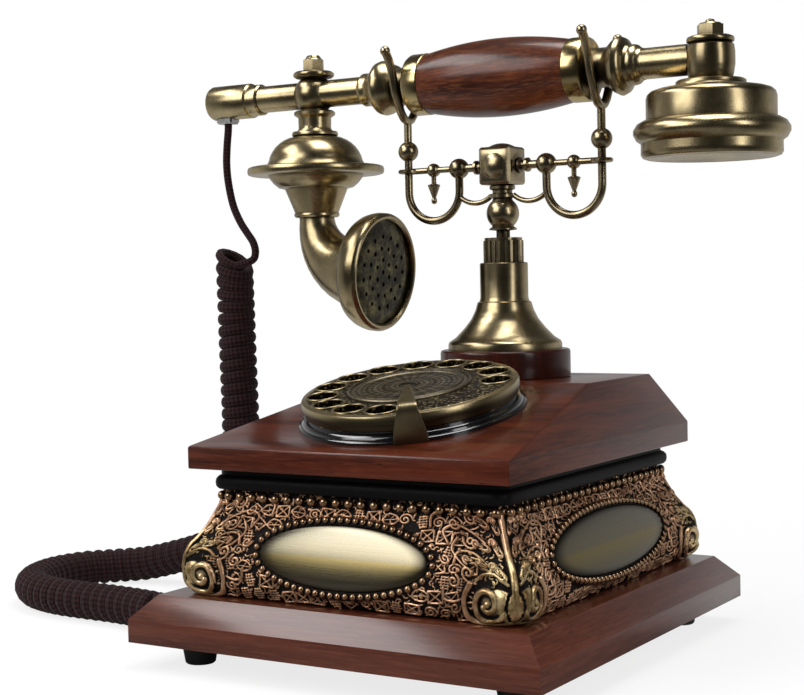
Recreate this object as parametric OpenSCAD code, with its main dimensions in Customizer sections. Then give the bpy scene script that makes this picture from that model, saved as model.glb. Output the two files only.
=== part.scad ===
// Cradle telephone with a rotary dial: mahogany boards, a carved casting, and turned brass fittings.
// Millimetres, +Z up, the dial faces -Y, and the origin is on the floor under the middle of the base.

/* [Base board] */
// Width of the base board, left to right
base_w = 200; // [190:1:220]
// Depth of the base board, front to back
base_d = 211; // [200:1:230]
// Height of the upright edge of the base board
base_edge = 10; // [9:0.5:14]
// How far the bevel of the base board runs in
base_bevel = 9.5; // [6:0.5:12]
// Rise of the bevel of the base board
base_rise = 10; // [6:0.5:12]
// Height of the rubber feet
foot_h = 11; // [8:0.5:16]
// Diameter of a foot where it meets the board
foot_d = 16.5; // [14:0.5:20]
// Distance from a foot's centre to the edge of the board
foot_inset = 22; // [18:0.5:30]
// Length of the opening under the board, front to back
hatch_d = 120; // [100:1:130]
// Width of the opening under the board
hatch_w = 104; // [90:1:114]
// Thickness of the cover over the opening
cover_t = 2.5; // [2:0.1:4]

/* [Carved casting] */
// Height of the casting between the two boards
case_h = 54.6; // [48:0.5:62]
// Width of the casting at its neck
neck_w = 140; // [132:1:142]
// Depth of the casting at its neck
neck_d = 161; // [154:1:164]
// How far the belly of the casting swells past the neck
belly = 12.5; // [9:0.5:14]
// Thickness of the casting's wall
case_wall = 5; // [3.5:0.5:6]
// How far the upper part stands behind the middle of the base
case_y = 3.2; // [0:0.2:5]
// Radius of the black half-round moulding round the neck
moulding_r = 3.2; // [2.5:0.1:4]
// Half length of the oval plate on the front and the back
front_oval_a = 41; // [36:1:46]
// Half length of the oval plate on each side
side_oval_a = 55; // [48:1:58]
// Half height of the oval plates
oval_b = 14.8; // [13:0.2:16]
// Thickness of an oval plate at its edge
plate_t = 1.6; // [1.2:0.1:2.4]
// Crown of an oval plate
plate_crown = 1.6; // [1:0.1:2]

/* [Top board] */
// Width of the top board
top_w = 158; // [154:1:166]
// Depth of the top board
top_d = 182; // [178:1:190]
// Height of the upright edge of the top board
top_edge = 9.8; // [8:0.2:13]
// Rise from the edge to the flat at the back
top_rise = 22.4; // [20:0.2:25]
// Length of the front slope, measured level
slope_run = 111.5; // [110:0.5:113]
// How far the side bevels run in
side_run = 18.9; // [15:0.1:20]
// How far the back bevel runs in
back_run = 1.1; // [0.5:0.1:3]

/* [Dial] */
// Distance of the dial's centre up the front slope
dial_up = 60.6; // [58:0.2:62]
// Radius of the black bezel
bezel_r = 50.3; // [49.5:0.1:52]
// Radius of the finger wheel
wheel_r = 48.2; // [47:0.1:49]
// Radius of the circle that the finger holes lie on
hole_ring_r = 38.4; // [38:0.1:39]
// Diameter of a finger hole
finger_d = 13; // [12:0.1:13.4]
// Number of finger holes
finger_n = 12; // [10:1:12]
// Angle between two finger holes
finger_pitch = 24; // [23:0.5:24]
// Angle of the first hole from the front of the dial
first_hole = 13; // [10:0.5:14]
// Angle of the finger stop from the front of the dial
stop_angle = 30; // [29:0.5:34]
// Radius of the medallion in the middle of the wheel
medal_r = 27.5; // [24:0.5:28]
// Radius of the dial's spindle
spindle_r = 2.9; // [2.5:0.1:3.4]
// Pitch radius of the gear on the spindle
pitch_r = 18; // [17:0.1:18.5]
// Room between the pinion and the wall of the case round the works
works_gap = 1.9; // [1:0.1:2.5]
// Wall of the case round the works
works_wall = 1.5; // [1.2:0.1:2]
// Depth of the case that holds the dial's mechanism
works_h = 22; // [20:0.5:23]
// Teeth of the gear on the spindle, three times the pinion's
gear_teeth = 48; // [48:3:48]

/* [Column] */
// Radius of the turned wooden block
block_r = 31.4; // [30:0.2:33]
// Height of the turned wooden block
block_h = 13.4; // [10:0.2:16]
// Radius of the column's foot
bell_r = 27.5; // [25:0.5:29]
// Height of the bell-shaped column
bell_h = 41.7; // [38:0.1:46]
// Radius of the column at its top
bell_top_r = 11.6; // [11:0.1:13]
// Height of the knurled collar
collar_h = 12; // [9:0.5:14]
// Radius of the threaded tube that clamps the column
tube_r = 6; // [5.4:0.1:6.4]
// Radius of the sliding stem of the cradle
stem_r = 3.3; // [2.8:0.1:3.6]
// Travel of the cradle on its spring
cradle_travel = 5; // [3:0.5:5]

/* [Cradle] */
// Distance of each upright from the middle of the cradle
upright_x = 52.7; // [52:0.1:53.4]
// Distance of each inner leg from the middle of the cradle
inner_x = 23.8; // [22:0.1:25]
// Radius of the bent rods
rod_r = 1.95; // [1.7:0.05:2.1]
// Height of the cross rod above the flange on the stem
cross_h = 30.6; // [29:0.1:32]
// Edge of the cradle's cube-shaped head
head_w = 17; // [15:0.5:19]
// Radius of the balls on the uprights
ball_r = 5; // [4:0.1:5.4]

/* [Handset] */
// Height of the handset's axis above the cross rod
handset_up = 42.5; // [42.5:0.1:43]
// Length of the wooden grip
grip_l = 78; // [76:0.5:80]
// Radius of the grip at its middle
grip_r = 18.7; // [17:0.1:20]
// Radius of the grip at its ends
grip_end_r = 14.6; // [13.5:0.1:14.8]
// Radius of the two ferrules
ferrule_r = 15.1; // [14.8:0.1:16]
// Length of each ferrule
ferrule_l = 9.2; // [8:0.1:9.4]
// Radius of the necks that lie in the cradle
hs_neck_r = 9.3; // [8.8:0.05:9.3]
// Radius of the two arm tubes
arm_r = 6.9; // [6.2:0.1:7.3]
// Distance of the mouthpiece's axis from the middle
mouth_arm = 109; // [107:0.5:111]
// Distance of the receiver's axis from the middle
ear_arm = 106.4; // [104:0.2:108]
// Length of the end cap
cap_l = 32.9; // [31:0.1:34]
// Radius of the end cap
cap_r = 9.1; // [8.6:0.1:10]
// Radius of the ball of the tee over the mouthpiece
tee_r = 10.4; // [9.6:0.1:11]
// Radius of the disc above the mouthpiece
disc_r = 35.3; // [32:0.1:37]
// Radius of the mouthpiece's rim
rim_r = 29.9; // [28:0.1:31]
// Radius of the receiver's cup
cup_r = 29; // [28:0.2:30]
// Radius of the receiver's screw cap at its roll
roll_r = 34.8; // [33.8:0.2:36]

/* [Cord] */
// Diameter of the cord itself
cord_d = 4; // [3.6:0.1:4.4]
// Outer diameter of the curled cord
curl_d = 18; // [16:0.5:18]

/* [Hidden] */

fine = 64;
fit = 0.1;
run = 0.05;

// Heights of the stacked pieces
case_z = foot_h + base_edge + base_rise;
top_z = case_z + case_h;
flat_z = top_z + top_edge + top_rise;
bell_z = flat_z + block_h;
collar_z = bell_z + bell_h;
flange_z = collar_z + collar_h + 3.8;
cross_z = flange_z + cross_h;
handset_z = cross_z + handset_up;

// The column stands in the middle of the flat behind the slope
column_y = case_y - top_d / 2 + slope_run + (top_d - slope_run - back_run) / 2;

// The front slope, and the dial's centre on it
slope_a = atan(top_rise / slope_run);
dial_y = case_y - top_d / 2 + dial_up * cos(slope_a);
dial_z = top_z + top_edge + dial_up * sin(slope_a);

// Levels of the dial's pieces above the slope
bezel_h = 3.6;
plate_h = 1;
web_z = 9.6;
web_t = 2.4;
medal_z = web_z + 1.6;
medal_h = 1.6;
stop_z = medal_z + medal_h + 1.6;
gear_z = -8;
gear_t = 3;
pinion_teeth = gear_teeth / 3;
pinion_r = pitch_r / 3;
pinion_x = pitch_r + pinion_r;
tooth_top = 0.6;
tooth_root = 0.85;
axle_r = 1.5;
works_r = pinion_x + pinion_r + tooth_top + works_gap + works_wall;
spring_post_x = 14.6;

// Level of the stem's foot, over the button of the hook switch
switch_z = top_z - 25;
stop_ring_z = top_z - 15.6;
nut_h = 8.2;

// Sections of the casting: height up the wall as a share, swell as a share, and corner swell
case_steps = [
    [0, 0.76, -1], [0.09, 0.96, 1.2], [0.2, 1, 1.7], [0.31, 0.92, 2], [0.38, 0.84, 1.6],
    [0.44, 0.72, -0.4], [0.54, 0.52, -1.3], [0.64, 0.32, -1.2], [0.74, 0.12, -0.8],
    [0.81, 0, 0], [1, 0, 0]
];

// Tilt and level of the oval plates, which lie along the swelling wall
oval_low = 0.13;
oval_high = 0.63;
oval_tilt = atan(belly * 0.66 / ((oval_high - oval_low) * case_h));
oval_z = case_z + case_h * (oval_low + oval_high) / 2;
oval_out = belly * 0.69;
oval_rim = 4.6;

// Radius of the sleeve that the cord hangs from
clip_r = cord_d / 2 + 0.5;

// Route of the cord, chosen by hand
lead_route = [
    [-165.3, 58.4, 255], [-165.3, 58.4, 248], [-166.4, 58.4, 239], [-167, 58.4, 229], [-166, 58.4, 218.5],
    [-163.2, 58.4, 207], [-158.8, 58.4, 198.2], [-154.4, 58.4, 192.2], [-150.4, 58.4, 187], [-148.2, 58.4, 181.6],
    [-148.4, 58.4, 176.6], [-150.4, 58.4, 173.4], [-153.8, 58.4, 172.4]
];
hang_route = [
    [-163.5, 58.4, 180], [-163, 58.4, 150], [-162.5, 58.4, 120], [-162, 58.4, 95],
    [-162.5, 58.4, 78], [-163, 58.4, 66], [-163, 58.4, 56]
];
floor_route = [
    [-163, 58.4, 56], [-163, 58.4, 52], [-165.5, 58.5, 42], [-171, 58.5, 31], [-180, 58.5, 24], [-194, 58.5, 19],
    [-210, 57.5, 14.5], [-227, 54.5, 10.5], [-242, 47, 9.2], [-253, 34, 9.2], [-257, 17, 9.2],
    [-254, 0, 9.2], [-245, -16, 9.2], [-230, -28, 9.2], [-211, -34.5, 9.2], [-191, -36.5, 9.2],
    [-171, -37, 9.2], [-152, -39, 9.2], [-136, -42, 9.2]
];
tail_route = [
    [-135.6, -42.1, 14.1], [-130, -43.2, 14.8], [-123, -46, 15.8], [-116, -49, 16], [-110, -50, 16], [-106, -50, 16]
];

// Modular jacks in the edge of the base, and the plug on the cord
jack_y = -50;
jack_z = foot_h + base_edge / 2;
jack_l = 12;
jack_w = 11;
jack_h = 7.4;
line_x = 30;
socket_w = 8.4;
socket_h = 5.4;
plug_in = 5.6;
plug_out = 6;
plug_w = 6.6;
plug_h = 4.8;

// ---------------------------------------------------------------- shared shapes

module revolve(outline) {
    rotate_extrude($fn = fine) polygon(outline);
}

module at_column(z = 0) {
    translate([0, column_y, z]) children();
}

module on_slope() {
    translate([0, dial_y, dial_z]) rotate([slope_a, 0, 0]) children();
}

// The handset's own frame: z runs along the handset to the right
module on_handset() {
    translate([0, column_y, handset_z]) rotate([0, 90, 0]) children();
}

module at_mouth_arm() {
    translate([-mouth_arm, column_y, handset_z]) children();
}

module at_ear_arm() {
    translate([ear_arm, column_y, handset_z]) children();
}

function unit(v) = v / norm(v);

function arc(r, a0, a1, n, cx = 0, cy = 0) =
    [for (i = [0:n]) let (a = a0 + (a1 - a0) * i / n) [cx + r * cos(a), cy + r * sin(a)]];

function oval(a, b, n = 48) = [for (i = [0:n - 1]) [a * cos(360 * i / n), b * sin(360 * i / n)]];

// Solid through a stack of rings that have the same number of points
module loft(rings) {
    n = len(rings[0]);
    m = len(rings);
    points = [for (ring = rings) each ring];
    sides = [for (j = [0:m - 2]) for (i = [0:n - 1]) let (k = (i + 1) % n)
        each [[j * n + i, (j + 1) * n + i, (j + 1) * n + k], [j * n + i, (j + 1) * n + k, j * n + k]]];
    foot = [for (i = [0:n - 1]) i];
    head = [for (i = [n - 1:-1:0]) (m - 1) * n + i];
    polyhedron(points, concat([foot], sides, [head]));
}

// Rings of a tube along a route, turned as little as the route allows
function tangents(route) = [for (i = [0:len(route) - 1])
    unit(route[min(i + 1, len(route) - 1)] - route[max(i - 1, 0)])];

function carried(ts, side, i = 0) = i >= len(ts) ? [] :
    let (s = unit(side - (side * ts[i]) * ts[i])) concat([s], carried(ts, s, i + 1));

function tube_rings(route, radii, count, side) =
    let (ts = tangents(route), ss = carried(ts, side))
    [for (i = [0:len(route) - 1]) let (u = ss[i], v = cross(ts[i], u), r = radii[i])
        [for (k = [0:count - 1]) route[i] + r * (cos(360 * k / count) * u + sin(360 * k / count) * v)]];

module tube(route, r, count, side = [0, 1, 0]) {
    loft(tube_rings(route, [for (p = route) r], count, side));
}

// Rectangle with chamfered corners, and a block chamfered on every edge
function chamfered(w, h, c) = [
    [-w + c, -h], [w - c, -h], [w, -h + c], [w, h - c], [w - c, h], [-w + c, h], [-w, h - c], [-w, -h + c]
];

module chamfered_block(w, d, h, c) {
    intersection() {
        linear_extrude(h, center = true) polygon(chamfered(w / 2, d / 2, c));
        rotate([90, 0, 0]) linear_extrude(d, center = true) polygon(chamfered(w / 2, h / 2, c));
        rotate([90, 0, 90]) linear_extrude(w, center = true) polygon(chamfered(d / 2, h / 2, c));
    }
}

module screw(head_r, shank_r, length) {
    revolve([[0, 0], [head_r, 0], [head_r * 0.92, head_r * 0.45], [shank_r, head_r * 0.55],
        [shank_r, length - shank_r], [0, length]]);
}

// A board whose outline from the front and from the side are both given
module hipped_board(front, side, w, d) {
    intersection() {
        rotate([90, 0, 0]) linear_extrude(d + 2, center = true) polygon(front);
        rotate([90, 0, 90]) linear_extrude(w + 2, center = true) polygon(side);
    }
}

// ---------------------------------------------------------------- base

module each_foot() {
    for (sx = [-1, 1]) for (sy = [-1, 1])
        translate([sx * (base_w / 2 - foot_inset), sy * (base_d / 2 - foot_inset), 0]) children();
}

module each_cover_screw() {
    for (sx = [-1, 1]) for (sy = [-1, 1])
        translate([sx * (hatch_w / 2 + 4), sy * (hatch_d / 2 - 8), foot_h]) children();
}

function bevelled(w, inset, edge, rise) = [
    [-w / 2, 0], [w / 2, 0], [w / 2, edge], [w / 2 - inset, edge + rise],
    [-w / 2 + inset, edge + rise], [-w / 2, edge]
];

// Pocket for a jack, open through the edge of the board
module jack_pocket() {
    translate([-jack_l / 2 - 1, -jack_w / 2 - fit, -jack_h / 2 - fit])
        cube([jack_l + 1 + fit, jack_w + 2 * fit, jack_h + 2 * fit]);
}

module at_handset_jack() {
    translate([-base_w / 2 + jack_l / 2, jack_y, jack_z]) children();
}

module at_line_jack() {
    translate([line_x, base_d / 2 - jack_l / 2, jack_z]) rotate([0, 0, -90]) children();
}

module base_board() {
    color("saddlebrown") difference() {
        translate([0, 0, foot_h])
            hipped_board(bevelled(base_w, base_bevel, base_edge, base_rise),
                bevelled(base_d, base_bevel, base_edge, base_rise), base_w, base_d);
        translate([-hatch_w / 2, -hatch_d / 2, foot_h - 1]) cube([hatch_w, hatch_d, base_edge + base_rise + 2]);
        translate([-hatch_w / 2 - 8, -hatch_d / 2 - 2, foot_h - 1])
            cube([hatch_w + 16, hatch_d + 4, cover_t + 1]);
        each_foot() translate([0, 0, foot_h - 1]) cylinder(r = 1.8, h = 12, $fn = fine);
        each_cover_screw() cylinder(r = 1.3, h = 12, $fn = fine);
        at_handset_jack() jack_pocket();
        at_line_jack() jack_pocket();
    }
}

module rubber_feet() {
    color("black") {
        each_foot() revolve([[1.9, 3], [3.6, 3], [3.6, 0], [foot_d / 2 - 2.2, 0],
            [foot_d / 2 - 1.6, 0.6], [foot_d / 2, foot_h - 1], [foot_d / 2, foot_h], [1.9, foot_h]]);
        // the middle foot is bonded to the cover and keeps it from bowing
        revolve([[0, 0], [foot_d / 2 - 2.2, 0], [foot_d / 2 - 1.6, 0.6], [foot_d / 2, foot_h - 1],
            [foot_d / 2, foot_h], [0, foot_h]]);
    }
}

// How far the heads of the cover's screws stand below it
cover_screw_head = 1.46;

module case_screws() {
    color("silver") {
        each_foot() translate([0, 0, 1.1]) screw(3.3, 1.7, 18);
        each_cover_screw() translate([0, 0, -cover_screw_head]) screw(2.6, 1.2, 11);
    }
}

module bottom_cover() {
    color("dimgray") difference() {
        union() {
            translate([-hatch_w / 2 - 8 + fit, -hatch_d / 2 - 2 + fit, foot_h])
                cube([hatch_w + 16 - 2 * fit, hatch_d + 4 - 2 * fit, cover_t]);
            for (sx = [-1, 1]) for (sy = [-1, 1])
                translate([sx * (board_w / 2 - 6), sy * (board_d / 2 - 6), foot_h + cover_t])
                    cylinder(r = 3, h = board_post_h, $fn = fine);
        }
        each_cover_screw() translate([0, 0, -1]) cylinder(r = 1.5, h = cover_t + 2, $fn = fine);
        for (i = [-4:4]) translate([i * 5 - 1, 38, foot_h - 1]) cube([2, 14, cover_t + 2]);
    }
}

// ---------------------------------------------------------------- carved casting

// Half of one side's outline near a corner, pushed out by the corner's own swell
function case_ring(hx, hy, ear, z) =
    let (r = 7, pad = 20, ramp = 3, swell = abs(ear) < 0.05 ? 0.05 : ear, quarter = [[1, 1, 0], [-1, 1, 90], [-1, -1, 180], [1, -1, 270]])
    [for (q = quarter) each corner_points(hx, hy, swell, r, pad, ramp, q, z)];

function corner_points(hx, hy, ear, r, pad, ramp, q, z) =
    let (along_x = q[2] == 90 || q[2] == 270,
        first = along_x ? [q[0] * (hx - pad - ramp), q[1] * hy] : [q[0] * hx, q[1] * (hy - pad - ramp)],
        second = along_x ? [q[0] * (hx - pad), q[1] * (hy + ear)] : [q[0] * (hx + ear), q[1] * (hy - pad)],
        fourth = along_x ? [q[0] * (hx + ear), q[1] * (hy - pad)] : [q[0] * (hx - pad), q[1] * (hy + ear)],
        fifth = along_x ? [q[0] * hx, q[1] * (hy - pad - ramp)] : [q[0] * (hx - pad - ramp), q[1] * hy],
        bend = arc(r, q[2], q[2] + 90, 4, q[0] * (hx + ear - r), q[1] * (hy + ear - r)))
    [for (p = concat([first, second], bend, [fourth, fifth])) [p[0], p[1] + case_y, z]];

function case_half(half, share) = half + belly * share;

module case_solid(inset, from, to, ears) {
    loft([for (s = case_steps) if (s[0] >= from && s[0] <= to)
        case_ring(case_half(neck_w / 2, s[1]) - inset, case_half(neck_d / 2, s[1]) - inset,
            ears * s[2], case_z + s[0] * case_h)]);
}

// Puts its children on a wall of the casting, with z out of the wall and x along it
module on_wall(turn, half) {
    translate([0, case_y, 0]) rotate([0, 0, turn]) translate([0, -half - oval_out, oval_z])
        rotate([90 - oval_tilt, 0, 0]) children();
}

module each_end_wall() {
    on_wall(0, neck_d / 2) children();
    on_wall(180, neck_d / 2) children();
}

module each_side_wall() {
    on_wall(90, neck_w / 2) children();
    on_wall(-90, neck_w / 2) children();
}

module oval_boss(a) {
    translate([0, 0, -case_wall]) linear_extrude(case_wall + 1.4) polygon(oval(a + oval_rim, oval_b + oval_rim));
}

module oval_recess(a) {
    linear_extrude(20) polygon(oval(a + fit, oval_b + fit));
}

module carved_body() {
    color("peru") difference() {
        union() {
            case_solid(0, 0, 1, 1);
            each_end_wall() oval_boss(front_oval_a);
            each_side_wall() oval_boss(side_oval_a);
        }
        translate([0, 0, -0.01]) case_solid(case_wall + 1.5, 0, 0.31, 0);
        case_cavity();
        each_end_wall() oval_recess(front_oval_a);
        each_side_wall() oval_recess(side_oval_a);
    }
}

// The straight-sided upper part of the hollow
module case_cavity() {
    translate([-neck_w / 2 + case_wall, case_y - neck_d / 2 + case_wall, case_z - 1])
        cube([neck_w - 2 * case_wall, neck_d - 2 * case_wall, case_h + 2]);
}

module oval_plate(a) {
    loft([for (s = [[0, 0, 0], [0, 0, plate_t], [1.2, 1.2, plate_t + plate_crown * 0.35],
            [a * 0.35, oval_b * 0.35, plate_t + plate_crown * 0.85],
            [a * 0.7, oval_b * 0.7, plate_t + plate_crown]])
        [for (p = oval(a - s[0], oval_b - s[1])) [p[0], p[1], s[2]]]]);
}

module end_plates() {
    color("darkkhaki") each_end_wall() oval_plate(front_oval_a);
}

module side_plates() {
    color("darkkhaki") each_side_wall() oval_plate(side_oval_a);
}

module neck_moulding() {
    band = moulding_r;
    steps = [[0, 0.1], [0.5, band * 0.7], [1.6, band * 0.94], [band, band], [2 * band - 1.6, band * 0.94],
        [2 * band - 0.5, band * 0.7], [2 * band + 0.2, 1], [case_h * 0.19 - 0.6, 1]];
    color("black") difference() {
        loft([for (s = steps) case_ring(neck_w / 2 + s[1], neck_d / 2 + s[1], 0,
            top_z - case_h * 0.19 + 0.6 + s[0])]);
        translate([0, 0, -1]) loft([for (z = [top_z - case_h * 0.19, top_z + 2])
            case_ring(neck_w / 2 + fit, neck_d / 2 + fit, 0, z)]);
    }
}

// ---------------------------------------------------------------- top board and column

module top_board() {
    front = bevelled(top_w, side_run, top_edge, top_rise);
    side = [[-top_d / 2, 0], [top_d / 2, 0], [top_d / 2, top_edge], [top_d / 2 - back_run, top_edge + top_rise],
        [-top_d / 2 + slope_run, top_edge + top_rise], [-top_d / 2, top_edge]];
    color("sienna") difference() {
        translate([0, case_y, top_z]) hipped_board(front, side, top_w, top_d);
        on_slope() translate([0, 0, -40]) cylinder(r = works_r + 0.5, h = 60, $fn = fine);
        at_column(top_z - 1) cylinder(r = tube_r + fit, h = top_edge + top_rise + 2, $fn = fine);
    }
}

module column_block() {
    color("saddlebrown") at_column(flat_z) revolve([[tube_r + fit, 0], [block_r, 0], [block_r, block_h - 1.2],
        [block_r - 0.4, block_h - 0.4], [block_r - 1.2, block_h], [tube_r + fit, block_h]]);
}

// Half widths of the bell, as shares of the way from its foot to its top
function bell_at(share, h) = [bell_top_r + (bell_r - bell_top_r) * share, bell_h * h];

module column_bell() {
    wall = 2.6;
    color("darkgoldenrod") at_column(bell_z) revolve([
        [bell_r - wall, 0], [bell_r, 0], [bell_r, bell_h * 0.06], [bell_r - 0.5, bell_h * 0.09],
        bell_at(0.77, 0.14), bell_at(0.51, 0.243), bell_at(0.3, 0.345), bell_at(0.165, 0.446),
        bell_at(0.09, 0.542), bell_at(0.03, 0.555), [bell_top_r, bell_h * 0.6],
        [bell_top_r, bell_h - 0.5], [bell_top_r - 0.5, bell_h], [tube_r + fit, bell_h],
        [tube_r + fit, bell_h - 3], [bell_top_r - wall, bell_h - 3], [bell_top_r - wall, bell_h * 0.6],
        bell_at(0.3, 0.2), bell_at(0.6, 0.1), [bell_r - wall, bell_h * 0.04]
    ]);
}

module knurled_collar() {
    flutes = 26;
    collar_r = bell_top_r - 1.9;
    teeth = [for (i = [0:flutes - 1]) each [
        [collar_r * cos(360 * i / flutes), collar_r * sin(360 * i / flutes)],
        [collar_r * cos(360 * (i + 0.5) / flutes), collar_r * sin(360 * (i + 0.5) / flutes)],
        [(collar_r - 0.5) * cos(360 * (i + 0.75) / flutes), (collar_r - 0.5) * sin(360 * (i + 0.75) / flutes)]]];
    color("darkgoldenrod") at_column(collar_z) difference() {
        union() {
            linear_extrude(collar_h - 1.4) polygon(teeth);
            cylinder(r = collar_r - 0.6, h = collar_h, $fn = fine);
        }
        translate([0, 0, -1]) cylinder(r = tube_r + fit, h = collar_h + 2, $fn = fine);
    }
}

module guide_tube() {
    color("silver") at_column(top_z - nut_h)
        revolve([[stem_r + run, 0], [tube_r, 0], [tube_r, collar_z + collar_h - top_z + nut_h - 0.5],
            [tube_r - 0.5, collar_z + collar_h - top_z + nut_h], [stem_r + run, collar_z + collar_h - top_z + nut_h]]);
}

module column_nut() {
    color("silver") at_column(top_z - nut_h) difference() {
        union() {
            cylinder(r = 10, h = nut_h - 1.6, $fn = 6);
            translate([0, 0, nut_h - 1.6]) cylinder(r = 12, h = 1.6, $fn = fine);
        }
        translate([0, 0, -1]) cylinder(r = tube_r + fit, h = nut_h + 2, $fn = fine);
    }
}

// ---------------------------------------------------------------- dial

module dial_bezel() {
    r = bezel_r;
    color("black") on_slope() revolve([[works_r - 3, 0], [r, 0], [r, 1.1], [r - 0.4, 1.6], [r - 1, 1.8],
        [r - 1.2, 2.4], [r - 1.6, 3], [r - 2.4, bezel_h], [works_r - 3, bezel_h]]);
}

module number_plate() {
    color("black") on_slope() translate([0, 0, bezel_h]) difference() {
        cylinder(r = bezel_r - 4.2, h = plate_h, $fn = fine);
        translate([0, 0, -1]) cylinder(r = spindle_r + run, h = plate_h + 2, $fn = fine);
    }
}

module finger_wheel() {
    r = wheel_r;
    top = web_z + web_t;
    color("olive") on_slope() difference() {
        revolve([[4.9, web_z], [r - 3.6, web_z], [r - 2.8, web_z - 0.9], [r - 2.8, bezel_h + 1.6],
            [r - 1.2, bezel_h + 1.6], [r - 1.2, top - 4.6], [r, top - 4.1], [r, top - 1.4],
            [r - 0.5, top - 0.4], [r - 1.6, top], [medal_r + fit, top], [medal_r + fit, medal_z], [4.9, medal_z]]);
        for (i = [0:finger_n - 1]) rotate([0, 0, first_hole - i * finger_pitch])
            translate([0, -hole_ring_r, web_z - 1]) cylinder(r = finger_d / 2, h = web_t + 2, $fn = 48);
    }
}

module dial_medallion() {
    r = medal_r;
    rise = medal_z + medal_h;
    color("olive") on_slope() revolve([[2.2, medal_z], [r, medal_z], [r, rise - 0.2], [r - 0.5, rise + 0.3],
        [r - 1.3, rise + 0.3], [r - 1.8, rise - 0.2], [r - 3.4, rise - 0.2], [r - 3.9, rise + 0.2],
        [r - 4.6, rise + 0.2], [r - 5.1, rise - 0.2], [4.6, rise], [4.6, rise - 0.7], [2.2, rise - 0.7]]);
}

module dial_screw() {
    head = medal_z + medal_h - 0.7;
    color("silver") on_slope() difference() {
        revolve([[0, head - 8], [2, head - 8], [2, head], [4.3, head], [4, head + 0.7], [3, head + 1], [0, head + 1.1]]);
        translate([-4.5, -0.4, head + 0.5]) cube([9, 0.8, 1]);
    }
}

module dial_spindle() {
    color("silver") on_slope() difference() {
        revolve([[0, -works_h], [spindle_r, -works_h], [spindle_r, web_z - 1.2], [9, web_z - 1.2], [9, web_z],
            [4.8, web_z], [4.8, medal_z], [0, medal_z]]);
        translate([0, 0, medal_z - 7.2]) cylinder(r = 2.05, h = 9, $fn = fine);
    }
}

// Straight-flanked gear outline with a working gap between the flanks
function gear_outline(teeth, r) = [for (i = [0:teeth - 1]) each [
    for (s = [[-0.42, -tooth_root], [-0.22, 0], [-0.12, tooth_top],
            [0.12, tooth_top], [0.22, 0], [0.42, -tooth_root]])
        let (a = 360 / teeth * (i + s[0] * 0.9), q = r + s[1]) [q * cos(a), q * sin(a)]]];

module drive_gear() {
    color("gold") on_slope() translate([0, 0, gear_z]) difference() {
        union() {
            linear_extrude(gear_t) polygon(gear_outline(gear_teeth, pitch_r));
            translate([0, 0, gear_t]) cylinder(r = 6, h = 3, $fn = fine);
        }
        translate([0, 0, -1]) cylinder(r = spindle_r + fit / 2, h = 9, $fn = fine);
        for (i = [0:4]) rotate([0, 0, i * 72]) translate([10.5, 0, -1]) cylinder(r = 3.2, h = gear_t + 2, $fn = 32);
    }
}

module pulse_pinion() {
    color("gold") on_slope() translate([pinion_x, 0, 0]) {
        translate([0, 0, gear_z - 0.5]) rotate([0, 0, 180 / pinion_teeth])
            linear_extrude(gear_t + 1) polygon(gear_outline(pinion_teeth, pinion_r));
        translate([0, 0, -works_h + 2]) cylinder(r = axle_r, h = works_h + gear_z - 2.4, $fn = fine);
        translate([0, 0, gear_z + gear_t + 0.3]) linear_extrude(2.2)
            polygon([for (i = [0:35]) let (q = 4.2 + 0.9 * cos(i * 20)) [q * cos(i * 10), q * sin(i * 10)]]);
    }
}

module dial_case() {
    color("slategray") on_slope() difference() {
        union() {
            difference() {
                translate([0, 0, -works_h]) cylinder(r = works_r, h = works_h, $fn = fine);
                translate([0, 0, -works_h + works_wall])
                    cylinder(r = works_r - works_wall, h = works_h, $fn = fine);
            }
            translate([0, 0, -works_h + 1]) cylinder(r = 6, h = 4, $fn = fine);
            translate([pinion_x, 0, -works_h + 1]) cylinder(r = 3.5, h = 6, $fn = fine);
            translate([-spring_post_x, 0, -works_h + 1]) cylinder(r = 1.5, h = 10, $fn = fine);
        }
        translate([0, 0, -works_h - 1]) cylinder(r = spindle_r + run, h = 12, $fn = fine);
        translate([pinion_x, 0, -works_h + 1.9]) cylinder(r = axle_r + run, h = 12, $fn = fine);
    }
}

// Flat spiral that turns the dial back, wound from the spindle out to the post of its case
module return_spring() {
    turns = 4;
    inner = spindle_r + 0.3;
    outer = 12.6;
    n = 96;
    thick = 0.45;
    line = [for (i = [0:n]) let (a = 180 + 360 * turns * (i / n - 1), q = inner + (outer - inner) * i / n) [q, a]];
    color("silver") on_slope() translate([0, 0, -15]) linear_extrude(4) polygon(concat(
        [for (p = line) [p[0] * cos(p[1]), p[0] * sin(p[1])]],
        [for (i = [n:-1:0]) let (p = line[i]) [(p[0] + thick) * cos(p[1]), (p[0] + thick) * sin(p[1])]]));
}

// Leaf that rises beside the wheel and reaches over it
module finger_stop() {
    t = 1.4;
    out = bezel_r + fit;
    color("darkkhaki") on_slope() rotate([0, 0, stop_angle]) {
        leaf([[out, 7.2, 0], [out, 6.4, stop_z * 0.4], [out, 4.6, stop_z - 1.4], [out - 0.6, 4.3, stop_z - 0.4],
            [out - 2, 4.1, stop_z + 0.1], [out - 14, 3, stop_z + 0.3], [out - 26, 2, stop_z + 0.6],
            [out - 33, 1.7, stop_z + 1]], t);
    }
}

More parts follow.
